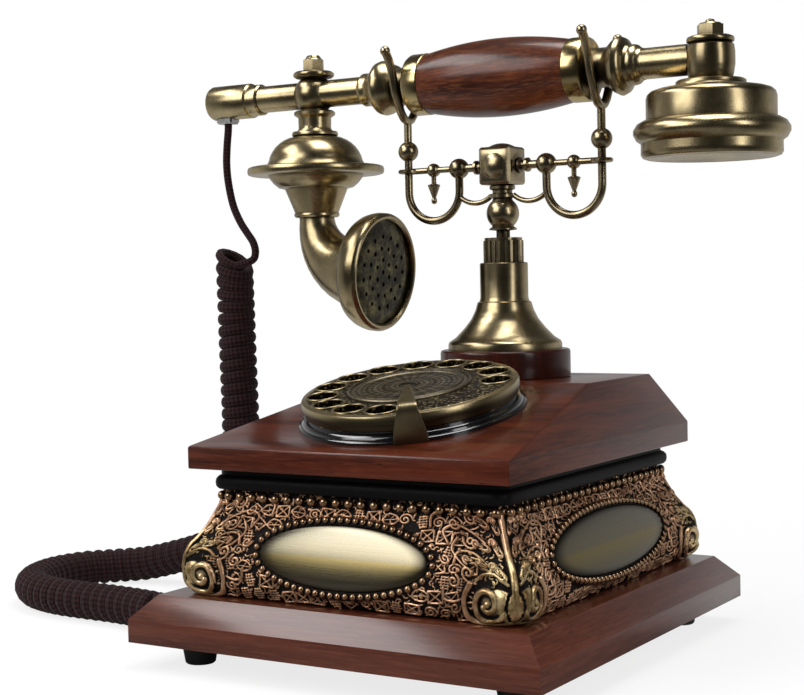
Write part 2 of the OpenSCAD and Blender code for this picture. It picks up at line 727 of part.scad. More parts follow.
// Bent strip: each step gives the radius, half width and level of its inner face
module leaf(steps, t) {
    n = len(steps);
    normals = [for (i = [0:n - 1]) let (a = steps[max(i - 1, 0)], b = steps[min(i + 1, n - 1)],
        d = unit([b[0] - a[0], b[2] - a[2]])) [d[1], -d[0]]];
    loft([for (i = [0:n - 1]) let (s = steps[i], m = normals[i])
        [[s[1], -s[0], s[2]], [-s[1], -s[0], s[2]],
         [-s[1], -s[0] - t * m[0], s[2] - t * m[1]], [s[1], -s[0] - t * m[0], s[2] - t * m[1]]]]);
}

// ---------------------------------------------------------------- inside the case

board_w = 92;
board_d = 72;
board_t = 1.6;
board_post_h = 5;
board_z = foot_h + cover_t + board_post_h;

module circuit_board() {
    color("green") translate([0, 0, board_z]) {
        translate([-board_w / 2, -board_d / 2, 0]) cube([board_w, board_d, board_t]);
        translate([-30, -20, board_t]) cube([22, 10, 4]);
        translate([8, -26, board_t]) cube([12, 18, 3]);
        translate([-34, 12, board_t]) cylinder(r = 5, h = 12, $fn = fine);
        translate([-18, 14, board_t]) cylinder(r = 4, h = 10, $fn = fine);
    }
}

module ringer() {
    color("black") translate([24, 14, board_z + board_t]) difference() {
        revolve([[0, 0], [14, 0], [14, 7], [13, 8], [0, 8]]);
        for (i = [0:5]) rotate([0, 0, i * 60]) translate([7, 0, 5]) cylinder(r = 1.2, h = 4, $fn = 16);
    }
}

module hook_switch() {
    color("dimgray") at_column(0) difference() {
        union() {
            for (sx = [-1, 1]) translate([sx * 15 - 2, -6, switch_z]) cube([4, 12, top_z - switch_z]);
            translate([-17, -6, switch_z - 12]) cube([34, 12, 12]);
            translate([0, 0, switch_z - 1]) cylinder(r = 1.6, h = 2, $fn = fine);
        }
        translate([0, 0, switch_z + 12]) cylinder(r = 12.6, h = 20, $fn = fine);
        translate([-17.5, -7, switch_z - 10]) cube([5, 14, 6]);
    }
}

module lift_spring() {
    turns = 5;
    n = turns * 12;
    low = switch_z + 0.5;
    high = stop_ring_z - 0.5;
    color("silver") at_column(0) tube([for (i = [0:n]) [5 * cos(i * 30), 5 * sin(i * 30), low + (high - low) * i / n]],
        0.5, 6, [1, 0, 0]);
}

module handset_jack() {
    color("black") at_handset_jack() difference() {
        cube([jack_l, jack_w, jack_h], center = true);
        translate([-3, 0, 0]) cube([jack_l - 5, plug_w + 0.4, plug_h + 0.4], center = true);
    }
}

module line_jack() {
    color("black") at_line_jack() difference() {
        cube([jack_l, jack_w, jack_h], center = true);
        translate([-2, 0, 0]) cube([jack_l - 3, socket_w, socket_h], center = true);
    }
}

// ---------------------------------------------------------------- cradle

stem_collar_r = 6.2;

module cradle_stem() {
    knop = 7.9;
    up = flange_z;
    color("darkgoldenrod") at_column(0) revolve(concat(
        [[0, switch_z + 1.3], [stem_r, switch_z + 1.3], [stem_r, stop_ring_z], [6.2, stop_ring_z],
         [6.2, stop_ring_z + 2], [stem_r, stop_ring_z + 2], [stem_r, up - 0.4], [6.7, up], [6.7, up + 0.6],
         [5.2, up + 1.6]],
        arc(knop, -48, 50, 10, 0, up + 7.9),
        [[4.6, up + 15], [stem_collar_r, up + 15.6], [stem_collar_r, up + 17], [4.8, up + 17.6], [4.8, up + 19], [6.2, up + 19.6],
         [6.2, up + 21], [5, up + cross_h - head_w / 2 - 0.5], [0, up + cross_h - head_w / 2 - 0.5]]));
}

module dome(r, h) {
    ball = (r * r + h * h) / (2 * h);
    edge = asin(r / ball);
    revolve(concat([[0, -0.5], [r, -0.5]], arc(ball, 90 - edge, 90, 8, 0, h - ball)));
}

module cradle_head() {
    h = head_w / 2;
    color("darkgoldenrod") at_column(cross_z) {
        chamfered_block(head_w, head_w, head_w + 1, 1.2);
        for (a = [0, 180]) rotate([90, 0, a]) translate([0, 0, h]) dome(6.2, 2.2);
        translate([0, 0, h + 0.5]) dome(6.8, 2);
        for (a = [90, -90]) rotate([90, 0, a]) translate([0, 0, h]) dome(6, 1);
    }
}

module bend(r, thick, from, to) {
    rotate([90, 0, 0]) rotate([0, 0, from]) rotate_extrude(angle = to - from, $fn = 48)
        translate([r, 0]) circle(r = thick, $fn = 20);
}

module arm() {
    mid = (inner_x + upright_x) / 2;
    half = (upright_x - inner_x) / 2;
    low = -10.5;
    fork_low = fork_base;
    difference() {
        union() {
            translate([mid, 0, low]) bend(half, rod_r, 180, 360);
            translate([inner_x, 0, low]) cylinder(r = rod_r, h = -low, $fn = 32);
            translate([upright_x, 0, low]) cylinder(r = rod_r, h = fork_low - low, $fn = 32);
            translate([inner_x, 0, 0]) sphere(r = ball_r, $fn = 32);
            translate([upright_x, 0, 10]) sphere(r = ball_r, $fn = 32);
            translate([mid, 0, 0]) sphere(r = 3.4, $fn = 24);
            translate([upright_x, 0, 0]) revolve([[0, -1], [4.6, -1], [5.2, -0.5], [5.2, 0.5], [4.6, 1], [0, 1]]);
            rotate([0, 90, 0]) revolve([[0, head_w / 2 + 1.2], [3.9, head_w / 2 + 1.2], [3.9, head_w / 2 + 2],
                [2.2, head_w / 2 + 2.8], [2.2, head_w / 2 + 4.2], [3.4, head_w / 2 + 4.8],
                [3.4, head_w / 2 + 6], [2, head_w / 2 + 6.8], [2, inner_x], [1.5, inner_x + 1],
                [1.5, upright_x], [0, upright_x]]);
            translate([14.6, 0, -4.4]) bend(12.8, 1.25, 228, 312);
        }
        translate([mid, 0, -5]) cylinder(r = 1.3, h = 3.4, $fn = 32);
        translate([0, -2, -18]) cube([stem_collar_r + fit, 4, 7]);
    }
    fork();
}

// Bend of each prong in the plane across the handset, from the upright to the tip
fork_base = 25.2;
prong = [
    [1.3, 0.1], [3.6, 1.1], [6.2, 3.8], [8.3, 7.6], [10.2, 11.4], [11.6, 14.4], [12.6, 18.4], [14.2, 23.6],
    [16.8, 28.8], [19.8, 32.6]
];

module fork() {
    last = len(prong) - 1;
    tube(concat([for (i = [last:-1:0]) [upright_x, -prong[i][0], fork_base + prong[i][1]]],
        [for (p = prong) [upright_x, p[0], fork_base + p[1]]]), rod_r + 0.15, 12, [1, 0, 0]);
}

module left_arm() {
    color("darkgoldenrod") at_column(cross_z) mirror([1, 0, 0]) arm();
}

module right_arm() {
    color("darkgoldenrod") at_column(cross_z) arm();
}

module drop_finials() {
    color("darkgoldenrod") at_column(cross_z) for (s = [-1, 1]) translate([s * (inner_x + upright_x) / 2, 0, 0])
        revolve([[0, -2], [1.2, -2], [1.2, -6.6], [3.1, -7.2], [3, -7.8], [0.9, -13.6], [1.4, -14.4],
            [1.4, -15.6], [0.9, -16.4], [0, -16.7]]);
}

// ---------------------------------------------------------------- handset

rod_bore = 4.2;

module grip() {
    n = 20;
    color("saddlebrown") on_handset() revolve(concat([[rod_bore, -grip_l / 2]],
        [for (i = [0:n]) let (s = 2 * i / n - 1) [grip_r - (grip_r - grip_end_r) * s * s, s * grip_l / 2]],
        [[rod_bore, grip_l / 2]]));
}

module ferrule() {
    l = ferrule_l;
    revolve([[rod_bore, 0], [ferrule_r - 0.3, 0], [ferrule_r, 0.4], [ferrule_r, l - 1.6],
        [ferrule_r - 0.6, l - 0.5], [ferrule_r - 1.8, l], [rod_bore, l]]);
}

module ferrules() {
    color("khaki") on_handset() for (s = [0, 1]) mirror([0, 0, s]) translate([0, 0, grip_l / 2]) ferrule();
}

// Collar lengths outward from the ferrule
left_collar_l = 30;
right_collar_l = 26.4;

module neck_collars() {
    z = grip_l / 2 + ferrule_l;
    n = hs_neck_r;
    color("darkgoldenrod") on_handset() {
        mirror([0, 0, 1]) translate([0, 0, z]) revolve([[rod_bore, 0], [n, 0], [n, 9], [n + 1.4, 10], [n + 2.2, 12],
            [n + 3.8, 14.8], [n + 4.3, 17.2], [n + 3.7, 19.4], [n + 1.3, 21.8], [n - 0.6, 24.2], [n - 1.1, 25],
            [n - 1, 28.8], [n - 1.8, left_collar_l], [rod_bore, left_collar_l]]);
        translate([0, 0, z]) revolve([[rod_bore, 0], [n, 0], [n, 8.4], [n + 0.8, 10], [n + 3.1, 12.6],
            [n + 4.3, 15.2], [n + 3.3, 17.4], [n + 0.4, 19.2], [n - 0.2, 20.6], [n + 0.1, 21.8],
            [n - 0.3, 23.4], [n - 1.9, 25.4], [n - 2, right_collar_l], [rod_bore, right_collar_l]]);
    }
}

ear_barrel_r = 10.9;

module arm_tubes() {
    left = grip_l / 2 + ferrule_l + left_collar_l;
    right = grip_l / 2 + ferrule_l + right_collar_l;
    color("darkgoldenrod") difference() {
        on_handset() {
            mirror([0, 0, 1]) translate([0, 0, left]) cylinder(r = arm_r, h = mouth_arm + 32.5 - left, $fn = fine);
            translate([0, 0, right]) cylinder(r = arm_r + 0.2, h = ear_arm - 5 - right, $fn = fine);
        }
        on_handset() mirror([0, 0, 1]) translate([0, 0, left - 1]) cylinder(r = 5.3, h = mouth_arm, $fn = fine);
        on_handset() translate([0, 0, right - 1]) cylinder(r = 5.3, h = ear_arm, $fn = fine);
        at_mouth_arm() sphere(r = tee_r + fit, $fn = fine);
        at_ear_arm() translate([0, 0, -12]) cylinder(r = ear_barrel_r + fit, h = 24, $fn = fine);
    }
}

module end_cap() {
    l = cap_l;
    color("darkgoldenrod") difference() {
        on_handset() mirror([0, 0, 1]) translate([0, 0, mouth_arm + 32.5]) revolve([
            [5.4, 0], [7.4, 0], [8.1, 0.8], [8.1, 6.4], [8.4, 6.9], [cap_r - 0.2, 7.2], [cap_r, 7.6], [cap_r, l - 1.8],
            [cap_r - 0.5, l - 0.7], [cap_r - 1.6, l], [0, l], [0, l - 2], [5.4, l - 2]]);
        translate([lead_route[0][0], column_y, handset_z - 12]) cylinder(r = clip_r + fit, h = 8, $fn = 32);
    }
}

module cord_clip() {
    w = 8;
    d = 7;
    low = cap_r + 2.2;
    color("silver") translate([lead_route[0][0], column_y, handset_z]) difference() {
        union() {
            translate([-w / 2, -d / 2, -low]) cube([w, d, 3.4]);
            for (s = [-1, 1]) translate([s * (w / 2 + 0.6) - 1, -2.5, -low + 0.8]) cube([2, 5, 2.6]);
            translate([0, 0, -low + 1]) cylinder(r = clip_r, h = 7, $fn = 32);
        }
        rotate([0, 90, 0]) difference() {
            cylinder(r = cap_r + 0.05, h = 30, center = true, $fn = fine);
            rotate([0, -90, 0]) translate([0, 0, -20]) cylinder(r = clip_r + fit / 2, h = 30, $fn = 32);
        }
        translate([0, 0, -20]) cylinder(r = cord_d / 2 + 0.02, h = 30, $fn = 32);
    }
}

module tie_rod() {
    color("silver") on_handset() revolve([[0, -82], [3, -82], [4, -81], [4, 79], [3, 80], [0, 80]]);
}

module mouth_tee() {
    flange = 10.6;
    color("darkgoldenrod") at_mouth_arm() revolve(concat([[0, -8.2], [tee_r * cos(47), -8.2]],
        arc(tee_r, -47, 51, 10), [[tee_r * cos(51), 8.4], [flange - 1.3, 8.6], [flange - 0.2, 9.4], [flange, 10.2],
        [flange - 0.2, 11], [flange - 1.3, 11.8], [0, 11.8]]));
}

module capped_nut(r, h, ball) {
    cylinder(r = r, h = h, $fn = 6);
    translate([0, 0, h]) revolve([[0, 0], [r * 0.84, 0], [r * 0.76, 0.7], [ball, 1], [ball, 1.5], [ball * 0.8, 2.3],
        [0, 2.8]]);
}

module arm_nuts() {
    color("darkgoldenrod") {
        at_mouth_arm() translate([0, 0, 11.8]) capped_nut(5.8, 6, 3.8);
        at_ear_arm() translate([0, 0, 9.6]) capped_nut(6.2, 5, 2.2);
    }
}

// Level of the underside of the disc
disc_z = -41.2;

module mouth_dome() {
    r = disc_r;
    color("darkgoldenrod") at_mouth_arm() revolve(concat(
        [[5, -8.2], [9.4, -8.2], [10.6, -9], [10.6, -10.4], [9.4, -11.2], [8.5, -11.8], [8.4, -17.4], [9.2, -18.6],
         [11.4, -19], [11.9, -19.8], [11.9, -20.8], [11.2, -21.4]],
        [for (i = [0:8]) let (a = 90 - i * 10) [8 + 16.6 * cos(a), -36.8 + 15.6 * sin(a)]],
        [[26, -36.7], [r - 1.6, -36.9], [r - 0.4, -37.4], [r, -38.3], [r, disc_z + 1.3], [r - 0.4, disc_z + 0.4],
         [r - 1.5, disc_z], [5, disc_z]]));
}

module mouth_cup() {
    color("darkgoldenrod") at_mouth_arm() revolve([[5, disc_z], [24.8, disc_z], [24.5, -42.2], [22, -45.4], [19.4, -47.6],
        [16.2, -48.4], [15.8, -49.4], [11.3, -60.6], [11.7, -61.2], [11.7, -62.2], [11, -63], [5, -63]]);
}

horn_turn = 85;
horn_r = 27;
horn_step = 6;
horn_start = 63;

// Centre line of the horn: straight down, round to the right, then on to the rim
function horn_point(a) = a <= horn_turn
    ? [-mouth_arm + horn_r - horn_r * cos(a), column_y, handset_z - horn_start - 1 - horn_r * sin(a)]
    : horn_point(horn_turn) + (a - horn_turn) * [sin(horn_turn), 0, -cos(horn_turn)];

// Radius of the horn, from its neck to the end that the rim sits on
horn_neck_r = 9.05;
horn_end_r = 20.6;
horn_end = horn_turn + horn_step;

function horn_width(a) = horn_neck_r + (horn_end_r - horn_neck_r) * pow(min(a, horn_end) / horn_end, 1.3);

// Rings along the horn, set in from its outside
function horn_rings(inset, first) =
    let (angles = concat([for (i = [first:10]) i * horn_turn / 10], [horn_end]),
        route = concat(first == 0 ? [horn_point(0) + [0, 0, 1]] : [], [for (a = angles) horn_point(a)]),
        widths = concat(first == 0 ? [horn_width(0)] : [], [for (a = angles) horn_width(a)]))
    tube_rings(route, [for (w = widths) w - inset], 32, [0, 1, 0]);

// One skin that runs up the outside, over the lip and back down the inside
module mouth_horn() {
    inner = horn_rings(2.4, 1);
    color("darkgoldenrod") loft(concat(horn_rings(0, 0), [for (j = [len(inner) - 1:-1:0]) inner[j]]));
}

module at_mouth() {
    translate(horn_point(horn_end)) rotate([0, 180 - horn_turn, 0]) children();
}

// The rim's bore, its skirt over the horn, and the level that the grille lies on
rim_bore_r = 18.9;
rim_skirt = 2.6;
grille_z = 7.8;
mic_h = 6.8;

module mouth_rim() {
    r = rim_r;
    bore = horn_end_r + fit;
    color("darkkhaki") at_mouth() revolve([[rim_bore_r, 0], [bore, 0], [bore, -rim_skirt], [r - 6.2, -rim_skirt],
        [r - 4.2, -rim_skirt + 0.5], [r - 2.5, -1], [r - 1.2, 1.2], [r - 0.4, 3.6], [r, 5.6], [r, 9.2],
        [r - 0.5, 10.4], [r - 1.6, 11.2], [r - 2.7, 11], [r - 3.4, 10], [r - 3.4, grille_z], [rim_bore_r, grille_z]]);
}

module mouth_grille() {
    grille_r = rim_r - 3.4 - fit;
    color("darkkhaki") at_mouth() translate([0, 0, grille_z]) difference() {
        dome_disc(grille_r, 1.6);
        for (ring = [[0, 1], [6.2, 6], [12.2, 12], [18.2, 15]])
            for (i = [0:ring[1] - 1]) rotate([0, 0, 360 * i / ring[1] + ring[0]])
                translate([ring[0], 0, -1]) cylinder(r = 1.15, h = 5, $fn = 16);
    }
}

module dome_disc(r, rise) {
    revolve([[0, 0], [r, 0], [r, 0.8], [r - 3, 1.2], [r - 5, 1.6], [0, rise]]);
}

module microphone() {
    rim = rim_bore_r - 0.6;
    color("black") at_mouth() translate([0, 0, grille_z - mic_h])
        revolve([[0, 0], [15, 0], [15, mic_h - 2.8], [rim, mic_h - 2.6], [rim, mic_h], [0, mic_h]]);
}

module receiver_barrel() {
    r = ear_barrel_r;
    color("darkgoldenrod") at_ear_arm() revolve([[0, -9.8], [r - 1.4, -9.8], [r - 0.6, -7], [r, -3], [r, 2.4],
        [r - 0.4, 5.4], [r - 1.6, 6.6], [r - 0.4, 7], [r - 0.2, 8], [r - 0.6, 9], [r - 2, 9.6], [0, 9.6]]);
}

cup_base = 32.8;
cap_joint = -27.4;

module receiver_cup() {
    r = cup_r;
    color("darkgoldenrod") at_ear_arm() revolve([[0, -9.8], [14.6, -9.8], [15.6, -10.4], [15.7, -11.6], [16.2, -12.3],
        [20, -12.9], [r - 4.6, -13.7], [r - 2, -14.6], [r - 0.6, -15.9], [r, -17.8], [r, cap_joint + 0.1],
        [r - 1.6, cap_joint + 0.1], [r - 1.6, -cup_base],
        [r - 4, -cup_base], [r - 4, -20], [r - 8, -17], [0, -17]]);
}

// Screw cap with its roll, and the perforated face that the ear rests on
module ear_cap() {
    r = roll_r;
    low = -44.6;
    color("darkgoldenrod") at_ear_arm() difference() {
        revolve([[cup_r - 1.5, cap_joint], [r - 4.4, cap_joint], [r - 1.6, -29], [r, -31.6], [r, -33.6], [r - 1.4, -36.2],
            [r - 3.4, -37.6], [r - 3.3, low + 2], [r - 4.2, low + 0.6], [r - 6, low], [r - 8, low + 0.4],
            [8, low + 3.4], [0, low + 3.6], [0, low + 6.4], [cup_r - 1.5, low + 6.4]]);
        for (ring = [[0, 1], [5, 6], [10, 12]]) for (i = [0:ring[1] - 1])
            rotate([0, 0, 360 * i / ring[1]]) translate([ring[0], 0, low]) cylinder(r = 1, h = 9, $fn = 16);
    }
}

module speaker() {
    color("black") at_ear_arm() translate([0, 0, -38.1]) revolve([[0, 0], [22, 0], [22, 4], [14, 5], [14, 10], [0, 10]]);
}

// ---------------------------------------------------------------- cord

module cord_lead() {
    color("maroon") tube(lead_route, cord_d / 2, 8);
}

module cord_curl_hanging() {
    color("maroon") tube(hang_route, curl_d / 2, 12);
}

module cord_curl_floor() {
    color("maroon") tube(floor_route, curl_d / 2, 12);
}

module cord_tail() {
    color("maroon") tube(tail_route, cord_d / 2, 8);
}

module cord_plug() {
    color("gainsboro") translate([-base_w / 2 - plug_out, jack_y - plug_w / 2, jack_z - plug_h / 2])
        cube([plug_in + plug_out, plug_w, plug_h]);
}

base_board();
rubber_feet();
case_screws();
bottom_cover();
carved_body();
neck_moulding();
end_plates();
side_plates();
top_board();
column_block();
column_bell();
knurled_collar();
guide_tube();
column_nut();
dial_bezel();
number_plate();
finger_stop();
dial_case();
return_spring();
hook_switch();
circuit_board();
ringer();
handset_jack();
line_jack();
finger_wheel();
dial_medallion();
dial_screw();
dial_spindle();
drive_gear();
pulse_pinion();
cradle_stem();
cradle_head();
left_arm();
right_arm();
drop_finials();
lift_spring();
grip();
ferrules();
neck_collars();
arm_tubes();
end_cap();
tie_rod();
mouth_tee();
arm_nuts();
mouth_dome();
mouth_cup();
mouth_horn();
mouth_rim();
mouth_grille();
microphone();
receiver_barrel();
receiver_cup();
ear_cap();
speaker();
cord_clip();
cord_lead();
cord_curl_hanging();
cord_curl_floor();
cord_tail();
cord_plug();
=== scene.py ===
import bpy
import bmesh
import math
import random
from functools import partialmethod
import numpy as np
from mathutils import Matrix, Vector


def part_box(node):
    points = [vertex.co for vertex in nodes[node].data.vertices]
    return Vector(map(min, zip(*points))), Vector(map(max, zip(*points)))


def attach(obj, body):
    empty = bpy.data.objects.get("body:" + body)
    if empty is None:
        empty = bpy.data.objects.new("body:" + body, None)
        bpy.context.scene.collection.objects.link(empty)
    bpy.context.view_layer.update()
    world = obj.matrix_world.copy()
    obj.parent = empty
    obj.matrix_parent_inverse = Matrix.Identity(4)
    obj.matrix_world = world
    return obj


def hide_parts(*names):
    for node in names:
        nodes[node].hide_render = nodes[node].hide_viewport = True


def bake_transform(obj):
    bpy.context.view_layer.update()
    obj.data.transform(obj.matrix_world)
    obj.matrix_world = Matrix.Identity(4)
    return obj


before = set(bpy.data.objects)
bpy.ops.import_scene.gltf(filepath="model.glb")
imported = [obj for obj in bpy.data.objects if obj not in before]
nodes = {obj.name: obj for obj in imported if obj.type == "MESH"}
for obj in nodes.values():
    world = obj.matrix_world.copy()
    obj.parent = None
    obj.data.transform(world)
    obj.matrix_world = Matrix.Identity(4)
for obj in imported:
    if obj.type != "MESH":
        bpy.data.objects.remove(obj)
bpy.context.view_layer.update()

mm = 0.001
print("frame loaded:", len(nodes), "nodes")


# camera

cameraSettings = {
    "place": (0.3721, -0.6352, 0.1661),
    "turn": 31.855, "rise": 2.421, "roll": -1.208,
    "focal": 1624.0, "frameWidth": 804.0, "sensor": 36.0,
}


def makeCamera(s):
    turn, rise, roll = (math.radians(s[k]) for k in ("turn", "rise", "roll"))
    back = Vector((math.sin(turn) * math.cos(rise), -math.cos(turn) * math.cos(rise), math.sin(rise)))
    level = (-back).cross(Vector((0, 0, 1))).normalized()
    upright = level.cross(-back).normalized()
    across = level * math.cos(roll) + upright * math.sin(roll)
    up = upright * math.cos(roll) - level * math.sin(roll)
    lens = bpy.data.cameras.new("camera")
    lens.sensor_width = s["sensor"]
    lens.lens = s["focal"] / s["frameWidth"] * s["sensor"]
    lens.clip_start = 0.01
    holder = bpy.data.objects.new("camera", lens)
    pose = Matrix((across, up, back)).transposed().to_4x4()
    pose.translation = Vector(s["place"])
    holder.matrix_world = pose
    bpy.context.scene.collection.objects.link(holder)
    bpy.context.scene.camera = holder


makeCamera(cameraSettings)


# helpers for shader and geometry trees

def feed(tree, slot, value):
    # links a wire or sets a plain value; colours are written without their alpha
    if isinstance(value, Wire):
        tree.links.new(value.socket, slot)
    elif value is not None:
        slot.default_value = (*value, 1) if slot.type == "RGBA" else value


class Wire:
    # an output socket that can be added, multiplied and passed on
    def __init__(self, tree, socket):
        self.tree = tree
        self.socket = socket

    def calc(self, operation, other=None, swap=False):
        step = self.tree.nodes.new("ShaderNodeMath")
        step.operation = operation
        first, second = (other, self) if swap else (self, other)
        feed(self.tree, step.inputs[0], first)
        feed(self.tree, step.inputs[1], second)
        return Wire(self.tree, step.outputs[0])

    __add__ = partialmethod(calc, "ADD")
    __radd__ = partialmethod(calc, "ADD", swap=True)
    __sub__ = partialmethod(calc, "SUBTRACT")
    __rsub__ = partialmethod(calc, "SUBTRACT", swap=True)
    __mul__ = partialmethod(calc, "MULTIPLY")
    __rmul__ = partialmethod(calc, "MULTIPLY", swap=True)
    __truediv__ = partialmethod(calc, "DIVIDE")
    __pow__ = partialmethod(calc, "POWER")

    def node(self, kind, inputs=None, out=0, **settings):
        step = self.tree.nodes.new(kind)
        for key, value in settings.items():
            setattr(step, key, value)
        for key, value in (inputs or {}).items():
            feed(self.tree, step.inputs[key], value)
        return Wire(self.tree, step.outputs[out])

    def between(self, low, high, newLow=0.0, newHigh=1.0):
        return self.node("ShaderNodeMapRange", {0: self, 1: low, 2: high, 3: newLow, 4: newHigh},
                         interpolation_type="SMOOTHSTEP")

    def blend(self, first, second):
        return self.node("ShaderNodeMix", {0: self, 6: first, 7: second}, 2, data_type="RGBA")

    def parts(self):
        return [self.node("ShaderNodeSeparateXYZ", {0: self}, k) for k in range(3)]


class Finish:
    # a material being written
    def __init__(self, name, **constants):
        self.material = bpy.data.materials.new(name)
        self.material.use_nodes = True
        self.tree = self.material.node_tree
        self.shader = self.tree.nodes["Principled BSDF"]
        self.start = Wire(self.tree, None)
        for key, value in constants.items():
            self.set(key, value)

    def set(self, key, value):
        names = {"colour": "Base Color", "rough": "Roughness", "metal": "Metallic", "coat": "Coat Weight",
                 "coatRough": "Coat Roughness", "normal": "Normal", "ior": "IOR", "sheen": "Sheen Weight",
                 "specular": "Specular IOR Level", "transmission": "Transmission Weight"}
        feed(self.tree, self.shader.inputs[names[key]], value)

    def place(self, scale=(1, 1, 1)):
        own = self.start.node("ShaderNodeTexCoord", out="Object")
        return own.node("ShaderNodeMapping", {0: own, 3: scale}, vector_type="POINT")

    def sloped(self, centre, tilt):
        # places in the plane of a sloping piece, and how far they lie from its middle
        own = self.start.node("ShaderNodeTexCoord", out="Object")
        shifted = own.node("ShaderNodeVectorMath", {0: own, 1: centre}, operation="SUBTRACT")
        flat = own.node("ShaderNodeMapping", {0: shifted, 2: (-tilt, 0, 0)}, vector_type="POINT")
        x, y, z = flat.parts()
        return flat, x, y, z, (x * x + y * y) ** 0.5

    def noise(self, where, scale, detail=2.0, rough=0.5):
        return self.start.node("ShaderNodeTexNoise", {"Vector": where, "Scale": scale, "Detail": detail,
                                                      "Roughness": rough}, "Fac")

    def cells(self, where, scale, feature="F1"):
        inputs = {"Vector": where, "Scale": scale}
        return self.start.node("ShaderNodeTexVoronoi", inputs, "Distance", feature=feature)

    def attribute(self, name):
        return self.start.node("ShaderNodeAttribute", out="Fac", attribute_name=name)

    def bump(self, height, distance, strength=1.0):
        self.set("normal", self.start.node("ShaderNodeBump", {"Height": height, "Distance": distance,
                                                              "Strength": strength}))


# finishes

def mahogany(name, grain, dark, warm, fleck, rough=0.34, coat=0.5, coatRough=0.16, turned=None):
    # varnished red mahogany; grain is how finely the figure repeats along each axis, and where
    # turned, given the distance to the side and y, is above zero it runs from front to back
    f = Finish(name, rough=rough, coat=coat, coatRough=coatRough, ior=1.45, specular=0.15)
    where = f.place(scale=grain)
    if turned:
        x, y = f.place().parts()[:2]
        beside = turned(x.calc("ABSOLUTE"), y).between(-0.0002, 0.0002)
        where = beside.blend(where, f.place(scale=(grain[1], grain[0], grain[2])))
    figure = f.noise(where, 1.0, 5.0, 0.6)
    fibre = f.noise(where, 7.0, 4.0, 0.65)
    pores = f.noise(where, 14.0, 2.0, 0.5).between(0.6, 0.72)
    colour = figure.between(0.32, 0.68).blend(dark, warm)
    colour = (fibre.between(0.45, 0.68) * 0.5).blend(colour, fleck)
    colour = (pores * 0.75).blend(colour, tuple(c * 0.4 for c in dark))
    f.set("colour", colour)
    f.bump(fibre - pores * 0.4, 0.00004, 0.25)
    return f.material


def agedBrass(name, bright, dark, wear=0.5, rough=0.24, fine=1400.0):
    # brass plate with faint cloudy wear, darkened towards brown in its hollows by ambient occlusion as
    # painted shade
    f = Finish(name, metal=1.0)
    where = f.place()
    cloud = f.noise(where, 46.0, 5.0, 0.62)
    speck = f.noise(where, fine, 2.0, 0.6)
    # painted shade: ambient occlusion darkens the colour, and roughens it, where the brass is hemmed in
    shade = f.start.node("ShaderNodeAmbientOcclusion", {"Distance": 0.007}, "AO", samples=6)
    aoLight = shade.between(0.35, 0.9)
    tone = (cloud.between(0.32, 0.68) * wear + (1.0 - wear)) * aoLight
    f.set("colour", tone.blend(dark, bright))
    f.set("rough", rough + 0.10 * cloud + (1.0 - aoLight) * 0.18 + speck * 0.04)
    f.bump(speck, 0.00001, 0.35)
    return f.material


def plain(name, colour, rough, metal=0.0, coat=0.0, grit=600.0, depth=0.00002, specular=0.5):
    # an even finish with a little grit in it
    f = Finish(name, metal=metal, coat=coat, coatRough=0.05, specular=specular)
    grain = f.noise(f.place(), grit, 3.0, 0.55)
    darker = tuple(c * 0.78 for c in colour)
    f.set("colour", grain.between(0.3, 0.7).blend(darker, colour))
    f.set("rough", rough + (grain - 0.5) * 0.12)
    f.bump(grain, depth, 0.4)
    return f.material


def carvedFinish(name):
    # cast relief: the higher a place stands, the more of the black is wiped off its copper; on top of that,
    # painted highlights lighten the crests and painted shade darkens their flanks
    f = Finish(name, specular=0.1)
    height = f.attribute("relief")
    gild = f.attribute("gild")
    where = f.place()
    grit = f.noise(where, 1100.0, 3.0, 0.62)
    cloud = f.noise(where, 90.0, 4.0, 0.62)
    # the relief attribute brings the painted highlight and shade along with the real wipe of the black
    wipeAndPaintedLight = (height + (grit - 0.5) * 0.35).between(0.46, 0.98)
    copper = cloud.between(0.35, 0.65).blend((0.42, 0.215, 0.118), (0.92, 0.545, 0.325))
    gold = cloud.between(0.4, 0.62).blend((0.3, 0.19, 0.08), (0.95, 0.72, 0.38))
    top = gild.blend(copper, gold)
    f.set("colour", wipeAndPaintedLight.blend((0.006, 0.004, 0.0035), top))
    f.set("metal", wipeAndPaintedLight * 0.85)
    f.set("rough", 0.55 - wipeAndPaintedLight * 0.27)
    f.bump(grit + cloud * 0.4, 0.00025, 0.6)
    return f.material


def dialFinish(name, centre, tilt):
    # the wheel's face: bright worn rim, darkened down its side as painted shade, and a dark grained web
    f = Finish(name, metal=1.0)
    flat, x, y, z, radius = f.sloped(centre, tilt)
    grain = f.cells(flat, 620.0, "SMOOTH_F1")
    grit = f.noise(flat, 1500.0, 2.0, 0.6)
    rim = radius.between(0.0445, 0.0462)
    worn = (1.0 - grain.between(0.15, 0.55)) * 0.65 + grit * 0.25
    # painted shade: the rim darkens down its side, towards the face of the dial
    side = z.between(0.0082, 0.0116, 0.16, 1.0)
    tone = rim * side + (1.0 - rim) * worn.between(0.35, 0.9) * 0.75
    f.set("colour", tone.blend((0.024, 0.018, 0.011), (0.48, 0.385, 0.215)))
    f.set("rough", 0.42 - rim * 0.14)
    f.bump((1.0 - grain) * (1.0 - rim) + grit * 0.1, 0.0005, 0.8)
    return f.material


